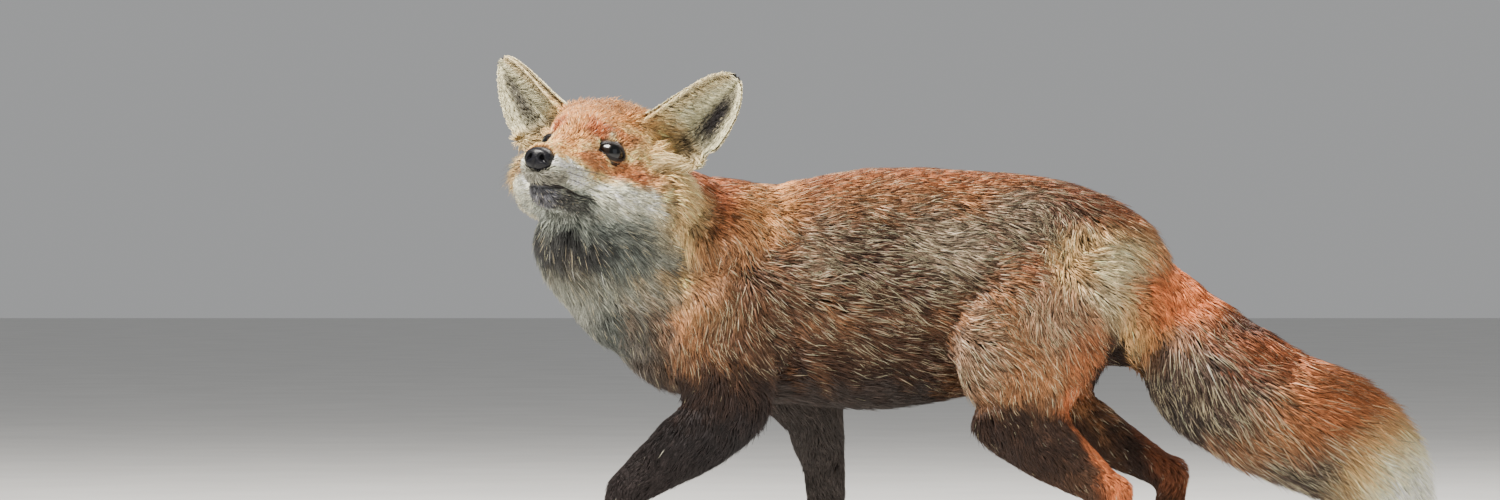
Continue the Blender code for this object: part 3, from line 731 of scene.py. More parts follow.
# One ear's scooped sheet: across runs from the inner edge, -1, to the outer, 1, and along to the tip.
class EarFrame:
    def __init__(self, side):
        spread = math.radians(earShape["spread"][side])
        forward, aside, up = earShape["base"]
        self.length, self.halfWidth, self.taper = (
            earShape[name][side] for name in ("length", "halfWidth", "taper")
        )
        self.base = np.array([forward, side * aside, up])
        self.axis = unit(np.array([-0.05, side * math.sin(spread), math.cos(spread)]))
        mouth = np.array([0.95, side * earShape["facing"], 0.1])
        self.mouth = unit(mouth - self.axis * (mouth @ self.axis))
        self.sideways = np.cross(self.axis, self.mouth) * side

    def place(self, across, along):
        t = np.clip(along, 0, 1)
        wide = self.halfWidth * (1 - self.taper * t) * np.sqrt(1 - t**7 * 0.99) + 0.6 * mm
        narrow = smoothStep(-along, -0.1, 0.2) * smoothStep(across, -0.2, 0.6)
        wide *= 1 - 0.6 * narrow  # the stem's outer side draws in
        opening = np.radians(earShape["scoop"][0] - earShape["scoop"][1] * t)
        radius = wide / np.sin(opening / 2)
        height = self.length * along - earShape["root"] * (1 - along)
        angle = across * 0.5 * opening
        deep = radius * (np.cos(angle) - np.cos(opening / 2)) - 4 * mm
        # The outer edge bulges, with a small pocket folded in low on it.
        bulge = earShape["bulge"] * smoothStep(across, 0.2, 1) * np.sin(math.pi * t)
        pocket = bell(t, 0.2, 0.08) * smoothStep(across, 0.7, 1) * 3.5 * mm
        local = self.base + self.axis * height[:, None] - self.mouth * (deep - pocket)[:, None]
        return fromHead(local + self.sideways * (radius * np.sin(angle) + bulge - pocket)[:, None])

    # Places, and there the ways to the tip, to the outer edge and out of the ear's back.
    def frameAt(self, across, along, step=1e-3):
        tipward = unit(self.place(across, along + step) - self.place(across, along - step))
        outward = unit(self.place(across + step, along) - self.place(across - step, along))
        back = unit(np.cross(tipward, outward))
        back *= np.sign(-(back @ headWay(*self.mouth)))[:, None]
        return self.place(across, along), tipward, outward, back


def makeEar(name, ear):
    columns, rows = earShape["across"], earShape["along"]
    bpy.ops.mesh.primitive_grid_add(x_subdivisions=columns, y_subdivisions=rows, size=2)
    sheet = bpy.context.object
    flat = pointsOf(sheet)
    along = earShape["buried"] + (1 - earShape["buried"]) * ((flat[:, 1] + 1) / 2) ** 0.85
    movePoints(sheet, ear.place(flat[:, 0], along))
    sheet.name = name
    applyModifier(sheet, "SOLIDIFY", thickness=earShape["wall"], offset=0, use_even_offset=False)
    applyModifier(sheet, "SUBSURF", levels=1, render_levels=1)
    editAll(sheet, bpy.ops.mesh.normals_make_consistent, inside=False)
    return sheet


ears = {side: EarFrame(side) for side in (1, -1)}
earPieces = [makeEar("ear", ear) for ear in ears.values()]


# The ear's colour: pale hair from its inner edge, a hollow darkened with painted shade, a pale rim, and a
# dark back. The right ear's pale hair is dimmer, as painted shade.
def earMarkings(across, along, inside, side):
    pale = np.array(coatColours["cream"]) * [0.8, 0.88, 0.92] * (1 if side > 0 else 0.75)
    hollow = np.exp(-(((across - 0.4) / (0.36 if side > 0 else 0.24)) ** 4) - ((along - 0.5) / 0.38) ** 4)
    # painted shade in the crease low in the ear, near its foot
    fold = bell(across, 0.05, 0.4) * bell(along, 0.07, 0.06)
    colour = np.tile(pale, (len(across), 1))
    for share, name in (
        (smoothStep(-across, 0.6, 0.95) * 0.35, "buff"),
        (smoothStep(-along, -0.3, 0) * smoothStep(-across, -0.2, 0.6) * 0.6, "buff"),
        (smoothStep(-along, -0.22, -0.02) * 0.6, "buff"),
        (hollow * (1.0 if side > 0 else 0.9), "charcoal"),
        (fold * 0.85, "charcoal"),
    ):
        colour = layOver(colour, share, name)
    back = np.tile(coatColours["charcoal"], (len(across), 1))
    back = layOver(back, smoothStep(-along, -0.35, 0), "rust")
    back = layOver(back, smoothStep(np.abs(across), 0.62, 0.8), "cream")
    return np.where(inside[:, None], colour, back)


# A number for each point of a mesh, or a colour.
def addValues(mesh, name, values):
    mesh.attributes.new(name, "FLOAT", "POINT").data.foreach_set("value", values)


def addTint(mesh, colours):
    rgba = np.ones((colours.size // 3, 4))
    rgba[:, :3] = colours.reshape(-1, 3)
    mesh.attributes.new("tint", "FLOAT_COLOR", "POINT").data.foreach_set("color", rgba.ravel())


# How far out points lie from the middle of the nose, 1 near its edge.
def noseReach(points):
    return lengthOf((inHead(points) - noseMiddle) / headShape["bareNose"])


# The skin has the coat's own colours, dimmed by painted shade under the coat, more where the coat is deep,
# with black bare rims and lips.
def paint(piece, colours, bare):
    addTint(piece.data, colours)
    addValues(piece.data, "bare", bare)


points = pointsOf(skin)
colours = layOver(markings(points)[0], smoothStep(-noseReach(points), -1.25, -1.02), "black")
for axes in eyes.values():
    colours = layOver(colours, rimShare(points, axes), "black")
# painted shade on the skin under the coat, deeper where the coat is deep
underCoatShade = 0.62 - 0.3 * smoothStep(runShares(points) @ runDepths, 1, 8)
paint(skin, colours * underCoatShade[:, None], np.zeros(len(points)))
for lid, axes in zip(lids, eyes.values()):
    points = pointsOf(lid)
    rim = rimShare(points, axes)
    paint(lid, layOver(markings(points)[0] * 0.45, rim, "black"), rim)
for lip in lips:
    count = len(lip.data.vertices)
    paint(lip, np.tile(coatColours["black"], (count, 1)), np.ones(count))
for piece, (side, ear) in zip(earPieces, ears.items()):
    # The sheet's own place in the ear is read back from its points.
    local = inHead(pointsOf(piece)) - ear.base
    along = np.clip((local @ ear.axis + earShape["root"]) / (ear.length + earShape["root"]), 0, 1)
    wide = ear.halfWidth * (1 - ear.taper * along) + 1e-4
    across = np.clip((local @ ear.sideways) / wide, -1, 1)
    inside = normalsOf(piece) @ headWay(*ear.mouth) > 0
    paint(piece, earMarkings(across, along, inside, side) * 0.8, np.zeros(len(along)))
skin = joinAll("skin", [skin, *lids, *lips, *earPieces])
print("skin painted,", len(skin.data.polygons), "faces")


# The coat. A tuft is a slim closed spindle: a root, a ring of three points, and a tip.
coatShape = dict(
    most=238000,  # tufts in all
    rootSink=0.5 * mm,
    stray=0.16,  # how far single tufts turn from the lie of the coat
    ringAt=0.42,  # along the tuft
    rise=(0.7, 1.15),  # the tips' heights, as shares of the coat's depth
    leastRise=0.16,  # and at least this share of the tuft's length
    vary=(0.75, 1.15),  # lengths of single tufts, as shares of the run's
    # How far tufts lean to the middle of their lock, if not 0.25.
    clump=dict(face=0.4, crown=0.4, cheek=0.55, chin=0.6, neck=0.5, trunk=0.45, tail=0.5),
    shortBright=0.25,  # how much paler the short coat is, as its roots are not in deep shade
    lockShade=dict(cheek=0.28, chin=0.34, neck=0.25),  # how much locks differ in brightness, if not 0.17
    bend=0.05,  # sideways, as a share of the length
    loose=dict(earBase=13, crown=4, tail=3, cheek=1.5, neck=1.5),  # more room for the tips, in millimetres
    standOut=2 * mm,  # the most that tips pass the coat's outline
    guard=0.07,  # share of long guard hairs
    guardOut=4.5 * mm,
    clearance=0.8 * mm,  # of the tufts over the floor
    fromFloor=1.5 * mm,  # no tuft is rooted lower
    fromLips=1.6 * mm,  # or nearer the line between the lips
    clumpSize=9,  # tufts that lean together
    patch=0.003,  # of the unwrapped square that each tuft takes
)


# One mesh of many tufts, with a tint for each point, and each tuft a patch of an unwrap round a line.
def tuftMesh(name, tufts, start, end):
    roots, rings, tips = tufts["roots"], tufts["rings"], tufts["tips"]
    count = len(roots)
    along = unit(tips - roots)
    over = unit(squareTo(tufts["normals"], along))
    half = (tufts["widths"] / 2)[:, None]
    across = np.cross(along, over) * half
    points = np.empty((count, 5, 3))
    points[:, 0] = roots
    points[:, 1] = rings + across - over * half * 0.25
    points[:, 2] = rings + over * half * 0.55
    points[:, 3] = rings - across - over * half * 0.25
    points[:, 4] = tips
    faces = np.array([(0, 1, 2), (0, 2, 3), (0, 3, 1), (4, 2, 1), (4, 3, 2), (4, 1, 3)])
    a, b, c = (points[0][faces[:, i]] - points[0].mean(axis=0) for i in range(3))
    if (np.cross(a, b) * c).sum() < 0:
        faces = faces[:, ::-1]
    corners = (faces[None] + np.arange(count)[:, None, None] * 5).reshape(-1)
    mesh = bpy.data.meshes.new(name)
    mesh.vertices.add(count * 5)
    mesh.vertices.foreach_set("co", points.ravel())
    mesh.loops.add(len(corners))
    mesh.loops.foreach_set("vertex_index", corners.astype(np.int32))
    mesh.polygons.add(count * 6)
    mesh.polygons.foreach_set("loop_start", np.arange(0, len(corners), 3, dtype=np.int32))
    mesh.update(calc_edges=True)
    addTint(mesh, tufts["colours"])
    patch = coatShape["patch"]
    spots = np.array([(0.5, 0.0), (0.15, 0.5), (0.5, 0.55), (0.85, 0.5), (0.5, 1.0)]) * patch
    places = unwrapRound(roots, start, end)[:, None, :] * (1 - patch) + spots[None]
    layer = mesh.uv_layers.new(name="OFBake")
    layer.data.foreach_set("uv", places.reshape(-1, 2)[corners].ravel())
    return newObject(name, mesh)


def unwrapRound(roots, start, end):
    start, end = np.array(start), np.array(end)
    way = unit(end - start)
    side = unit(np.cross(way, [0.2, 0.1, 1]))
    away = roots - start
    along = away @ way
    turn = np.arctan2(away @ side, away @ np.cross(way, side)) / (2 * math.pi) + 0.5
    return np.stack([(along - along.min()) / max(np.ptp(along), 1e-6), turn], axis=1)


# Random places on a mesh, as many to each face as its density times its area.
def scatterRoots(obj, density):
    obj.data.calc_loop_triangles()
    triangles = np.empty(len(obj.data.loop_triangles) * 3, dtype=np.int32)
    obj.data.loop_triangles.foreach_get("vertices", triangles)
    triangles = triangles.reshape(-1, 3)
    points, normals = pointsOf(obj), normalsOf(obj)
    a, b, c = (points[triangles[:, i]] for i in range(3))
    expected = density[triangles].mean(axis=1) * (lengthOf(np.cross(b - a, c - a)) / 2)
    expected *= min(1, coatShape["most"] / expected.sum())
    many = np.floor(expected + rng.random(len(expected))).astype(int)
    face = np.repeat(np.arange(len(many)), many)
    u, v = rng.random((2, len(face)))
    flip = u + v > 1
    u[flip], v[flip] = 1 - u[flip], 1 - v[flip]
    weights = np.stack([1 - u - v, u, v], axis=1)[:, :, None]
    place, normal = ((field[triangles[face]] * weights).sum(axis=1) for field in (points, normals))
    return place, unit(normal)


tuftShades = dict(
    vary=0.2,  # how much single tufts differ in brightness
    ring=0.92,
    tip=1.15,
    frosted=0.42,  # share of pale-tipped tufts where all is grizzled
    frost=0.05,
    dusky=0.28,  # share of dark-tipped ones there
    dark=(0.45, 0.28),  # their rings and tips
    limits=(0.004, 0.95),
)


# Root, ring and tip colours: roots darkened as painted shade deep in the coat, and pale or dark ends where
# the coat is grizzled.
def tuftColours(base, grizzled, rootShade=0.4):
    count = len(base)
    own = rng.normal(1, tuftShades["vary"], (count, 1)).clip(0.5, 1.6)
    base = base * own
    colours = np.empty((count, 5, 3))
    colours[:, 0] = base * rootShade
    colours[:, 1:4] = (base * tuftShades["ring"])[:, None]
    colours[:, 4] = base * tuftShades["tip"]
    pick = rng.random(count)
    frosted = pick < grizzled * tuftShades["frosted"]
    colours[frosted, 1:4] = (base[frosted] * 1.1 + tuftShades["frost"])[:, None]
    colours[frosted, 4] = np.array(coatColours["cream"]) * own[frosted]
    dusky = (pick > 1 - tuftShades["dusky"]) & (rng.random(count) < grizzled)
    colours[dusky, 1:4] = (base[dusky] * tuftShades["dark"][0])[:, None]
    colours[dusky, 4] = base[dusky] * tuftShades["dark"][1]
    return colours.clip(*tuftShades["limits"])


# Tips drawn towards the tip of the nearest of some tufts, so that the coat parts into locks.
def clumped(roots, tips, share, size):
    leaders = rng.permutation(len(roots))[: max(1, len(roots) // size)]
    tree = kdtree.KDTree(len(leaders))
    for k, leader in enumerate(leaders):
        tree.insert(roots[leader], k)
    tree.balance()
    own = leaders[np.array([tree.find(root)[1] for root in roots.tolist()])]
    target = roots[own] + (tips[own] - roots[own]) * 0.5 + (tips - roots) * 0.5
    return tips + (target - tips) * share[:, None], own


# A number for each tuft, from a table by region.
def byRegion(field, regions, otherwise):
    return np.array([coatShape[field].get(str(name), otherwise) for name in regions])


# One patch of coat, as arrays ready to be cut into pieces.
def coatPatch(region, roots, normals, lengths, widths, ways, heights, colours, clump):
    count = len(roots)
    rise = rng.uniform(*coatShape["rise"], count)
    rise = rise * np.maximum(heights, lengths * coatShape["leastRise"])
    lengths = np.maximum(lengths, rise * 1.25)
    tips = roots + ways * np.sqrt(lengths**2 - rise**2)[:, None] + normals * rise[:, None]
    tips, leaders = clumped(roots, tips, clump, coatShape["clumpSize"])
    lockShade = (1 + rng.normal(0, 1, count) * byRegion("lockShade", region, 0.17)).clip(0.45, 1.5)
    colours = (colours * lockShade[leaders][:, None, None]).clip(0.004, 0.9)
    # No tip stands out through the coat's own outline.
    place, outward = nearestOn(outline, tips)
    out = ((tips - place) * outward).sum(axis=1)
    allowed = coatShape["standOut"] - rng.uniform(0, 0.3, count) * heights
    allowed[rng.random(count) < coatShape["guard"]] = coatShape["guardOut"]
    allowed += byRegion("loose", region, 0) * mm
    over = np.clip(out - allowed, 0, 0.03)
    over[region == "ear"] = 0
    tips -= outward * over[:, None]
    span = tips - roots
    bow = (span * normals).sum(axis=1) * 0.22 + 0.06 * lengths
    bend = rng.normal(0, coatShape["bend"], count) * lengths
    rings = roots + span * coatShape["ringAt"] + normals * bow[:, None]
    rings += np.cross(normals, ways) * bend[:, None]
    for ends in (rings, tips):
        ends[:, 2] = np.maximum(ends[:, 2], coatShape["clearance"])
    roots = roots - normals * coatShape["rootSink"]
    fields = dict(roots=roots, rings=rings, tips=tips, normals=normals)
    return dict(fields, widths=widths, colours=colours, region=region)


roots, normals = scatterRoots(bareSkin, runShares(pointsOf(bareSkin)) @ runCounts * 1e4)
count = len(roots)
shares = runShares(roots)
heights = lengthOf(nearestOn(outline, roots)[0] - roots)
lengths = shares @ runLengths * mm * rng.uniform(*coatShape["vary"], count)
widths = shares @ runWidths * mm * rng.uniform(0.7, 1.2, count)
ways = flowAt(roots, shares, normals)
ways = unit(ways + np.cross(normals, ways) * rng.normal(0, coatShape["stray"], (count, 1)))
regions = regionNames[shares.argmax(axis=1)]
base, grizzled = markings(roots)
keep = (noseReach(roots) > 0.93) & (roots[:, 2] > coatShape["fromFloor"])
# The hair round the eyes is short and leans away from them.
for axes in eyes.values():
    away = roots - axes[0]
    near = bell(lengthOf(away), 10 * mm, 7 * mm)
    lengths *= 1 - 0.5 * near
    outward = away - axes[1] * (away @ axes[1])[:, None]
    ways = unit(squareTo(unit(ways + unit(outward) * near[:, None] * 0.8), normals))
    keep &= rimShare(roots, axes) < 0.75
lifted = (regions == "earBase") | (regions == "crown")
heights[lifted] = np.maximum(heights[lifted], lengths[lifted] * 0.45)
heights[lifted] *= np.where(rng.random(lifted.sum()) < 0.2, 1.5, 1)
local = inHead(roots)
inFace = np.isin(regions, ("face", "chin", "cheek"))
lie = 0.55 - 0.3 * smoothStep(local[:, 0], 12 * mm, 34 * mm)
heights[inFace] = np.minimum(heights, lengths * lie)[inFace]
# No hair grows between the lips.
aroundMouth = np.arctan2(np.abs(local[:, 1]), local[:, 0] - mouthShape["hub"])
gap = np.abs(local[:, 2] - mouthLine(aroundMouth))
keep &= ~(inFace & (aroundMouth < mouthShape["end"]) & (gap < coatShape["fromLips"]))
clump = byRegion("clump", regions, 0.25)
colours = tuftColours(base, grizzled)
shortCoat = smoothStep(-lengths, -0.016, -0.006)
# The short coat has less painted shade at its roots, and is paler all over.
colours[:, 0] *= (1 + shortCoat * 0.9)[:, None]
colours *= (1 + shortCoat * coatShape["shortBright"])[:, None, None]
fields = [field[keep] for field in (regions, roots, normals, lengths, widths, ways, heights, colours, clump)]
patches = [coatPatch(*fields)]
print("body coat grown,", keep.sum(), "tufts")

# The ears' coat: long pale hair from the inner edge over a hollow darkened with painted shade, and short dark
# hair on the back.
earCoat = dict(
    inner=6400,  # tufts inside each ear and on its back
    back=3600,
    rimShare=0.26,  # of them along the edges
    innerLength=6.5 * mm,
    sweptLength=11 * mm,  # added from the inner edge
    backLength=6.5 * mm,
    footLength=21 * mm,
    width=0.8 * mm,
)
for (side, ear), isInner in itertools.product(ears.items(), (True, False)):
    count = earCoat["inner" if isInner else "back"]
    across = rng.uniform(-1, 1, count)
    onRim = rng.random(count) < earCoat["rimShare"]
    across[onRim] = np.sign(across[onRim]) * rng.uniform(0.93, 1, onRim.sum())
    along = rng.uniform(-0.2 if isInner else -0.02, 0.98, count)
    place, tipward, outward, back = ear.frameAt(across, along)
    normals = -back if isInner else back
    # Along the edges the hair stands outwards, over the rim.
    overRim = unit(normals + outward * np.sign(across)[:, None])
    normals = np.where(onRim[:, None], overRim, normals)
    # Low on the outer side the hair hangs over the edge of the ear's foot.
    foot = smoothStep(-along, -0.16, 0.0) * smoothStep(across, -0.1, 0.5) * isInner
    if isInner:
        # From the inner edge it sweeps out over the hollow; at the outer edge it follows the rim.
        inner = smoothStep(-across, -0.15, 0.5)
        sweepOut = 0.25 + 0.95 * inner - 0.5 * smoothStep(across, 0.55, 1)
        length = earCoat["innerLength"] + earCoat["sweptLength"] * inner * (1 - 0.45 * along)
        length = length * (1 - 0.35 * smoothStep(along, 0.8, 1))
        height = length * (0.16 + 0.2 * inner)
    else:
        sweepOut = across * 0.3
        length = earCoat["backLength"] * (1 - 0.35 * along)
        height = length * 0.12
    sweepOut = np.where(onRim, rng.uniform(-0.9, 0.9, count), sweepOut)
    length = length * (1 - foot) * (1 - 0.45 * onRim) + earCoat["footLength"] * foot
    height = height * (1 - foot) + 2.5 * mm * foot
    sweepOut = sweepOut * (1 - foot) + 0.6 * foot
    ways = unit(tipward * (1 - 2.1 * foot)[:, None] + outward * sweepOut[:, None])
    colour = earMarkings(across, along, np.full(count, isInner), side)
    lengths = length * rng.uniform(*coatShape["vary"], count)
    ways = unit(ways + back * (rng.normal(0, 0.25, count) * foot)[:, None])
    colours = tuftColours(colour, np.full(count, 0.05), 0.6)
    region, widths = np.full(count, "ear"), np.full(count, earCoat["width"])
    roots = place + normals * earShape["wall"] / 2
    patch = coatPatch(region, roots, normals, lengths, widths, ways, height, colours, 0.4 - 0.25 * foot)
    patches.append(dict(patch, region=np.full(count, "leftEar" if side > 0 else "rightEar")))
coat = {name: np.concatenate([patch[name] for patch in patches]) for name in patches[0]}

# No hair crosses an eye.
keep = np.ones(len(coat["roots"]), dtype=bool)
for axes in eyes.values():
    for share in (0.6, 1.0):
        spot = coat["roots"] + (coat["tips"] - coat["roots"]) * share
        keep &= openingShare(spot, axes) > 1.06
coat = {name: field[keep] for name, field in coat.items()}

# The coat is cut into pieces by place, each unwrapped round its own line: name, slot, which tufts, and the
# line's two ends.
region, local, behind = coat["region"], inHead(coat["roots"]), coat["roots"][:, 0]
trunkEnds = inBox("trunk", 0, 0.5, 0.5), inBox("trunk", 1, 0.5, 0.5)
tailEnds = tailLine[0], tailLine[-1]
isTrunk = (region == "trunk") | (region == "neck")
isHead = np.isin(region, ("face", "crown", "cheek", "earBase"))
isFront = local[:, 0] > -4 * mm
isHigh = local[:, 2] > -6 * mm
pieceTable = [
    (name, slot, mine, headPoint(*start), headPoint(*end))
    for name, slot, mine, start, end in (
        ("faceCoat", "head_fur", isHead & isFront, (-60, 0, -20), (80, 0, -20)),
        ("browCoat", "head_fur", isHead & ~isFront & isHigh, (-90, 0, -40), (20, 0, -40)),
        ("cheekCoat", "head_fur", isHead & ~isFront & ~isHigh, (-90, 0, -20), (20, 0, -20)),
        ("throatCoat", "throat_fur", region == "chin", (-60, 0, -50), (80, 0, -50)),
        ("leftEarCoat", "ear_fur", region == "leftEar", (-50, 60, 0), (-50, 100, 70)),
        ("rightEarCoat", "ear_fur", region == "rightEar", (-50, -60, 0), (-50, -100, 70)),
    )
]
for name, slot, mine, ends, low, high in (
    ("neck", "body_fur", isTrunk, trunkEnds, -9, 0.2),
    ("shoulder", "body_fur", isTrunk, trunkEnds, 0.2, 0.42),
    ("flank", "body_fur", isTrunk, trunkEnds, 0.42, 0.66),
    ("rump", "body_fur", isTrunk, trunkEnds, 0.66, 9),
    ("tailRoot", "body_fur", region == "tail", tailEnds, -9, 0.34),
    ("tail", "body_fur", region == "tail", tailEnds, 0.34, 0.72),
    ("tailTip", "tail_tip_fur", region == "tail", tailEnds, 0.72, 9),
):
    share = (behind - ends[0].x) / (ends[1].x - ends[0].x)
    pieceTable.append((name + "Coat", slot, mine & (share >= low) & (share < high), *ends))
for leg in legNames:
    ends = inBox(leg + "_upper", 0.5, 0.5, 1), inBox(leg + "_foot", 0.5, 0.5, 0)
    limb = leg.replace("_f", "F").replace("_h", "H")
    pieceTable.append((limb + "LegCoat", "body_fur", region == leg + "Upper", *ends))
    pieceTable.append((limb + "Stocking", "stocking_fur", region == leg + "Lower", *ends))


def newNode(tree, kind, **inputs):
    node = tree.nodes.new("ShaderNode" + kind)
    for socket, value in inputs.items():
        node.inputs[socket.replace("_", " ")].default_value = value
    return node


# Fine uneven shade and height, shared by all the materials.
def grainGroup():
    group = bpy.data.node_groups.new("fineGrain", "ShaderNodeTree")
    for name, value in (("Scale", 200), ("Low", 0.8), ("High", 1.2)):
        group.interface.new_socket(name, in_out="INPUT", socket_type="NodeSocketFloat").default_value = value
    for name in ("Shade", "Height"):
        group.interface.new_socket(name, in_out="OUTPUT", socket_type="NodeSocketFloat")
    entry, leave = group.nodes.new("NodeGroupInput"), group.nodes.new("NodeGroupOutput")
    place = newNode(group, "TexCoord")
    coarse, fine = newNode(group, "TexNoise", Detail=3), newNode(group, "TexNoise")
    spread = newNode(group, "MapRange", From_Min=0.3, From_Max=0.7)
    double = newNode(group, "Math")
    double.operation = "MULTIPLY"
    double.inputs[1].default_value = 5
    for source, output, target, socket in (
        (entry, "Scale", coarse, "Scale"),
        (entry, "Scale", double, 0),
        (double, 0, fine, "Scale"),
        (place, "Object", coarse, "Vector"),
        (place, "Object", fine, "Vector"),
        (coarse, "Fac", spread, "Value"),
        (entry, "Low", spread, "To Min"),
        (entry, "High", spread, "To Max"),
        (spread, "Result", leave, "Shade"),
        (fine, "Fac", leave, "Height"),
    ):
        group.links.new(source.outputs[output], target.inputs[socket])
    return group


fineGrain = grainGroup()


# A colour times another, as a socket; the first may be a constant.
def multiplied(tree, first, second):
    mix = newNode(tree, "Mix", Factor=1)
    mix.data_type = "RGBA"
    mix.blend_type = "MULTIPLY"
    if isinstance(first, bpy.types.NodeSocket):
        tree.links.new(first, mix.inputs["A"])
    else:
        mix.inputs["A"].default_value = (*first, 1)
    tree.links.new(second, mix.inputs["B"])
    return mix.outputs["Result"]


def attributeOf(tree, name, output="Fac"):
    node = newNode(tree, "Attribute")
    node.attribute_name = name
    return node.outputs[output]


def setRoughness(tree, value, low, high):
    spread = newNode(tree, "MapRange", To_Min=low, To_Max=high)
    tree.links.new(value, spread.inputs["Value"])
    tree.links.new(spread.outputs["Result"], tree.nodes["Principled BSDF"].inputs["Roughness"])


def setBump(tree, height, strength, distance):
    bump = newNode(tree, "Bump", Strength=strength, Distance=distance)
    tree.links.new(height, bump.inputs["Height"])
    tree.links.new(bump.outputs["Normal"], tree.nodes["Principled BSDF"].inputs["Normal"])


# A material with its shader's constants and grain of a scale, lowest and highest shade. The colour is a
# constant, an attribute's name, or what a function makes in the tree; the grain may move the roughness
# between two values, and make a bump of a strength and distance.
def makeMaterial(name, settings, grain, colour, rough=None, bump=None):
    material = bpy.data.materials.new(name)
    material.use_nodes = True
    tree = material.node_tree
    shader = tree.nodes["Principled BSDF"]
    for socket, value in settings.items():
        shader.inputs[socket].default_value = value
    group = newNode(tree, "Group")
    group.node_tree = fineGrain
    for socket, value in zip(("Scale", "Low", "High"), grain):
        group.inputs[socket].default_value = value
    if callable(colour):
        colour = colour(tree)
    elif isinstance(colour, str):
        colour = attributeOf(tree, colour, "Color")
    tree.links.new(multiplied(tree, colour, group.outputs["Shade"]), shader.inputs["Base Color"])
    if rough:
        setRoughness(tree, group.outputs["Height"], *rough)
    if bump:
        setBump(tree, group.outputs["Height"], *bump)
    return material


def furMaterial(name, rough, sheen, scale):
    settings = {"Specular IOR Level": 0.18, "Sheen Weight": sheen, "Sheen Roughness": 0.4}
    uneven = (rough - 0.1, rough + 0.12)
    return makeMaterial(name, settings, (scale, 0.82, 1.18), "tint", uneven, (0.25, 0.0004))


furLooks = dict(
    head_fur=furMaterial("softFaceFur", 0.58, 0.03, 300),
    throat_fur=furMaterial("paleThroatFur", 0.62, 0.05, 240),
    body_fur=furMaterial("redGuardHair", 0.55, 0.02, 220),
    stocking_fur=furMaterial("darkStockingFur", 0.55, 0.02, 300),
    ear_fur=furMaterial("fineEarFur", 0.6, 0.04, 320),
    tail_tip_fur=furMaterial("whiteBrushFur", 0.62, 0.05, 200),
)
underfurLook = {"Specular IOR Level": 0.22, "Sheen Weight": 0.02, "Sheen Roughness": 0.5}
underfur = makeMaterial("underfur", underfurLook, (420, 0.7, 1.2), "tint", bump=(0.5, 0.0006))
setRoughness(underfur.node_tree, attributeOf(underfur.node_tree, "bare"), 0.75, 0.32)
fleshNames = [name for name in nodes if not any(word in name for word in ("claw", "eye", "nose"))]
finishPiece(skin, underfur, fleshNames)
total = 0
for name, slot, mine, start, end in pieceTable:
    piece = tuftMesh(name, {key: field[mine] for key, field in coat.items()}, start, end)
    finishPiece(piece, furLooks[slot])
    total += len(piece.data.polygons)
    print(name, len(piece.data.polygons), "triangles")
print("coat made,", total, "triangles")
for helper in (bareSkin, outlineObject):
    bpy.data.objects.remove(helper)


# Eyes: a ball with a clear bulge before the iris, looking out between the lids.
eyeLook = dict(
    pupil=0.36,  # half sizes as angles from the middle of the gaze
    pupilTall=0.44,
    iris=0.86,
    bulge=0.9 * mm,
    gaze=(0.72, 0.68, 0.10),
)


def makeEye(name, side):
    forward, outward, up = eyeLook["gaze"]
    gaze = unit(headWay(forward, outward * side, up))
    right = unit(np.cross(np.array(headUp), gaze))
    bpy.ops.mesh.primitive_uv_sphere_add(segments=96, ring_count=64, radius=ball)
    eye = bpy.context.object
    eye.name = name
    raw = pointsOf(eye)
    angle = np.arccos((raw[:, 2] / ball).clip(-1, 1))
    raw *= (1 + eyeLook["bulge"] / ball * (1 - smoothStep(angle, 0.1, 0.8)))[:, None]
    tilted = unit(raw[:, :2]) * angle[:, None]
    movePoints(eye, eyes[side][0] + raw @ np.array([right, np.cross(gaze, right), gaze]))
    addValues(eye.data, "ring", angle / eyeLook["iris"])
    addValues(eye.data, "slit", lengthOf(tilted / [eyeLook["pupil"], eyeLook["pupilTall"]]))
    return eye


def ramped(tree, value, stops):
    ramp = newNode(tree, "ValToRGB")
    elements = ramp.color_ramp.elements
    while len(elements) < len(stops):
        elements.new(0.5)
    for element, (place, *colour) in zip(elements, stops):
        element.position = place
        element.color = (*colour, 1)
    tree.links.new(value, ramp.inputs["Fac"])
    return ramp.outputs["Color"]


def eyeColour(tree):
    stops = (
        (0.0, 0.006, 0.003, 0.002),
        (0.6, 0.009, 0.005, 0.003),
        (0.85, 0.006, 0.003, 0.002),
        (0.97, 0.006, 0.004, 0.004),
        (1.0, 0.014, 0.011, 0.01),
    )
    iris = ramped(tree, attributeOf(tree, "ring"), stops)
    return multiplied(tree, iris, ramped(tree, attributeOf(tree, "slit"), ((0.9, 0, 0, 0), (1.0, 1, 1, 1))))


amberLook = {"Roughness": 0.2, "Coat Weight": 0.55, "Coat Roughness": 0.02, "Specular IOR Level": 0.2}
amberEye = makeMaterial("amberEye", amberLook, (1500, 0.55, 1.35), eyeColour)
finishPiece(makeEye("leftEye", 1), amberEye, ["left_eye"])
finishPiece(makeEye("rightEye", -1), amberEye, ["right_eye"])


# The nose pad: rounded, with comma-shaped nostrils and a groove down its middle.
noseShape = dict(
    grain=0.6 * mm,
    groove=0.9 * mm,  # how deep the groove is, and half how wide
    grooveWide=0.9 * mm,
    nostril=2.9 * mm,  # how deep the nostrils are, how far apart, and their half sizes
    nostrilAside=5.6 * mm,
    nostrilWide=2.3 * mm,
    nostrilTall=1.9 * mm,
)


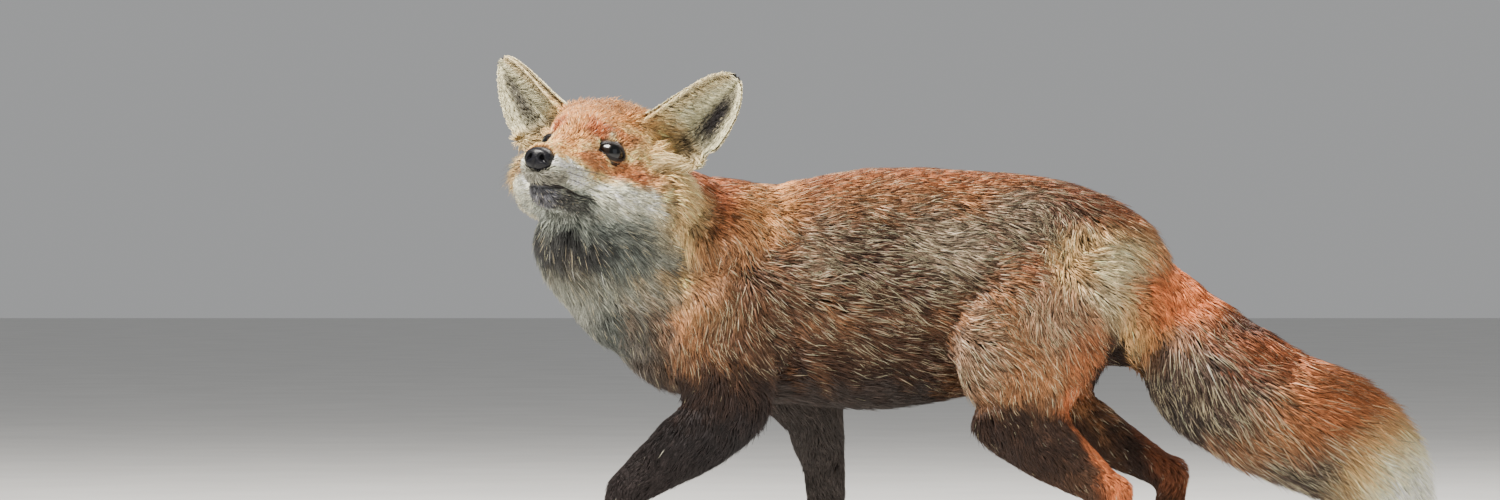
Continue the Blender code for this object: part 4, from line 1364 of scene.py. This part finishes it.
def makeNose():
    nose = closedCopies(["nose"], 0.6 * mm)[0]
    nose.name = "nosePad"
    remesh(nose, noseShape["grain"], 12)
    local = inHead(pointsOf(nose)) - noseMiddle
    front = smoothStep(local[:, 0], -1 * mm, 5 * mm)
    slit = bell(local[:, 1], 0, noseShape["grooveWide"]) * smoothStep(-local[:, 2], -1 * mm, 3 * mm)
    local[:, 0] -= noseShape["groove"] * slit * front
    for side in (1, -1):
        aside = local[:, 1] * side - noseShape["nostrilAside"]
        up = local[:, 2] + 0.4 * mm + aside * 0.35
        hole = bell(aside, 0, noseShape["nostrilWide"]) * bell(up, 0, noseShape["nostrilTall"])
        hole += 0.7 * bell(aside, 2.6 * mm, 2.2 * mm) * bell(up, -1 * mm, 1 * mm)
        local[:, 0] -= noseShape["nostril"] * hole * smoothStep(local[:, 0], -3 * mm, 3 * mm)
    movePoints(nose, fromHead(local + noseMiddle))
    return nose


noseLook = {"Coat Weight": 0.2, "Coat Roughness": 0.15, "Specular IOR Level": 0.15}
wetNose = makeMaterial("wetNose", noseLook, (500, 0.6, 1.4), (0.003, 0.003, 0.005), (0.4, 0.6))
pebble = newNode(wetNose.node_tree, "TexVoronoi", Scale=1100)
place = newNode(wetNose.node_tree, "TexCoord")
wetNose.node_tree.links.new(place.outputs["Object"], pebble.inputs["Vector"])
setBump(wetNose.node_tree, pebble.outputs["Distance"], 0.5, 0.0003)
finishPiece(makeNose(), wetNose, ["nose"])

hornLook = {"Coat Weight": 0.2, "Coat Roughness": 0.25}
hornColour = (0.035, 0.026, 0.022)
darkHorn = makeMaterial("darkHorn", hornLook, (900, 0.6, 1.5), hornColour, (0.3, 0.5), (0.2, 0.0002))
for leg in legNames:
    names = [name for name in nodes if name.startswith(leg + "_claw")]
    claws = joinAll(leg + "Claws", closedCopies(names, 0))
    applyModifier(claws, "SUBSURF", levels=2, render_levels=2)
    finishPiece(claws, darkHorn, names)

# Whiskers: thin tapering hairs from the sides of the muzzle.
whiskerShape = dict(
    rows=((-24, 4), (-28, 4), (-32, 3)),  # heights in the head's axes in millimetres, and how many
    front=58,  # where the foremost of each row grows, and how far apart they are
    apart=5,
    length=48 * mm,
    thick=0.2 * mm,
)


def makeWhiskers():
    made = []
    shares = np.linspace(-0.02, 1, 9)
    for side in (1, -1):
        for up, count in whiskerShape["rows"]:
            for k in range(count):
                forward = (whiskerShape["front"] - k * whiskerShape["apart"]) * mm
                start = fromHead(np.array([forward, side * 0.06, up * mm]))
                hit = skinSurface.ray_cast(Vector(start), Vector(headWay(0, -side, 0)))
                length = whiskerShape["length"] * (0.55 + 0.15 * k) * rng.uniform(0.85, 1.1)
                way = headWay(*unit(np.array([-0.25 - 0.1 * k, side * 1.0, (up + 26) * 0.03])))
                drop = headWay(-0.5, 0, -0.35) * 0.4
                line = [np.array(hit[0]) + (way * t + drop * t * t) * length for t in shares]
                thick = [whiskerShape["thick"] * (1 - 0.85 * abs(t)) for t in shares]
                made.append(sweep("whisker", line, thick, 5))
    return joinAll("whiskers", made)


whiskerLook = {"Specular IOR Level": 0.5}
whiskerHair = makeMaterial("whiskerHair", whiskerLook, (700, 0.7, 1.3), (0.03, 0.025, 0.022), (0.3, 0.45))
finishPiece(makeWhiskers(), whiskerHair)
print("eyes, nose, claws and whiskers made")

# A pale studio: floor, soft lights, and a long lens at the height of the shoulder.
studio = dict(
    camera=(-0.16897, -4.9562, 0.272),
    lens=150,
    world=(0.86, 0.87, 0.88),
    worldStrength=0.42,
    floor=(0.66, 0.655, 0.64),
    lights=(  # name, place, aim, size, power, colour
        ("key", (-1.1, -1.0, 2.4), (-0.1, 0, 0.25), 1.0, 270, (1.0, 0.95, 0.88)),
        ("fill", (1.6, -2.2, 0.9), (0, 0, 0.2), 1.8, 9, (0.88, 0.93, 1.0)),
        ("rim", (0.5, 1.4, 2.2), (0, 0, 0.25), 1.2, 66, (1.0, 0.96, 0.9)),
    ),
)
bpy.ops.mesh.primitive_plane_add(size=40, location=(0, 0, 0))
floor = bpy.context.object
floor.name = "floor"
floor.data.materials.append(
    makeMaterial("paleFloor", {"Roughness": 0.8}, (6, 0.96, 1.04), studio["floor"], bump=(0.05, 0.002))
)
for name, place, aim, size, power, colour in studio["lights"]:
    light = bpy.data.lights.new(name, "AREA")
    light.size = size
    light.energy = power
    light.color = colour
    lamp = newObject(name, light)
    lamp.location = place
    lamp.rotation_euler = (Vector(aim) - Vector(place)).to_track_quat("-Z", "Y").to_euler()
world = bpy.data.worlds.new("studio")
bpy.context.scene.world = world
world.use_nodes = True
sky = world.node_tree.nodes["Background"]
sky.inputs["Color"].default_value = (*studio["world"], 1)
sky.inputs["Strength"].default_value = studio["worldStrength"]
camera = newObject("camera", bpy.data.cameras.new("camera"))
camera.data.lens = studio["lens"]
camera.data.sensor_width = 36
camera.data.clip_end = 100
camera.location = studio["camera"]
camera.rotation_euler = (math.radians(90), 0, 0)
bpy.context.scene.camera = camera
print("studio set")
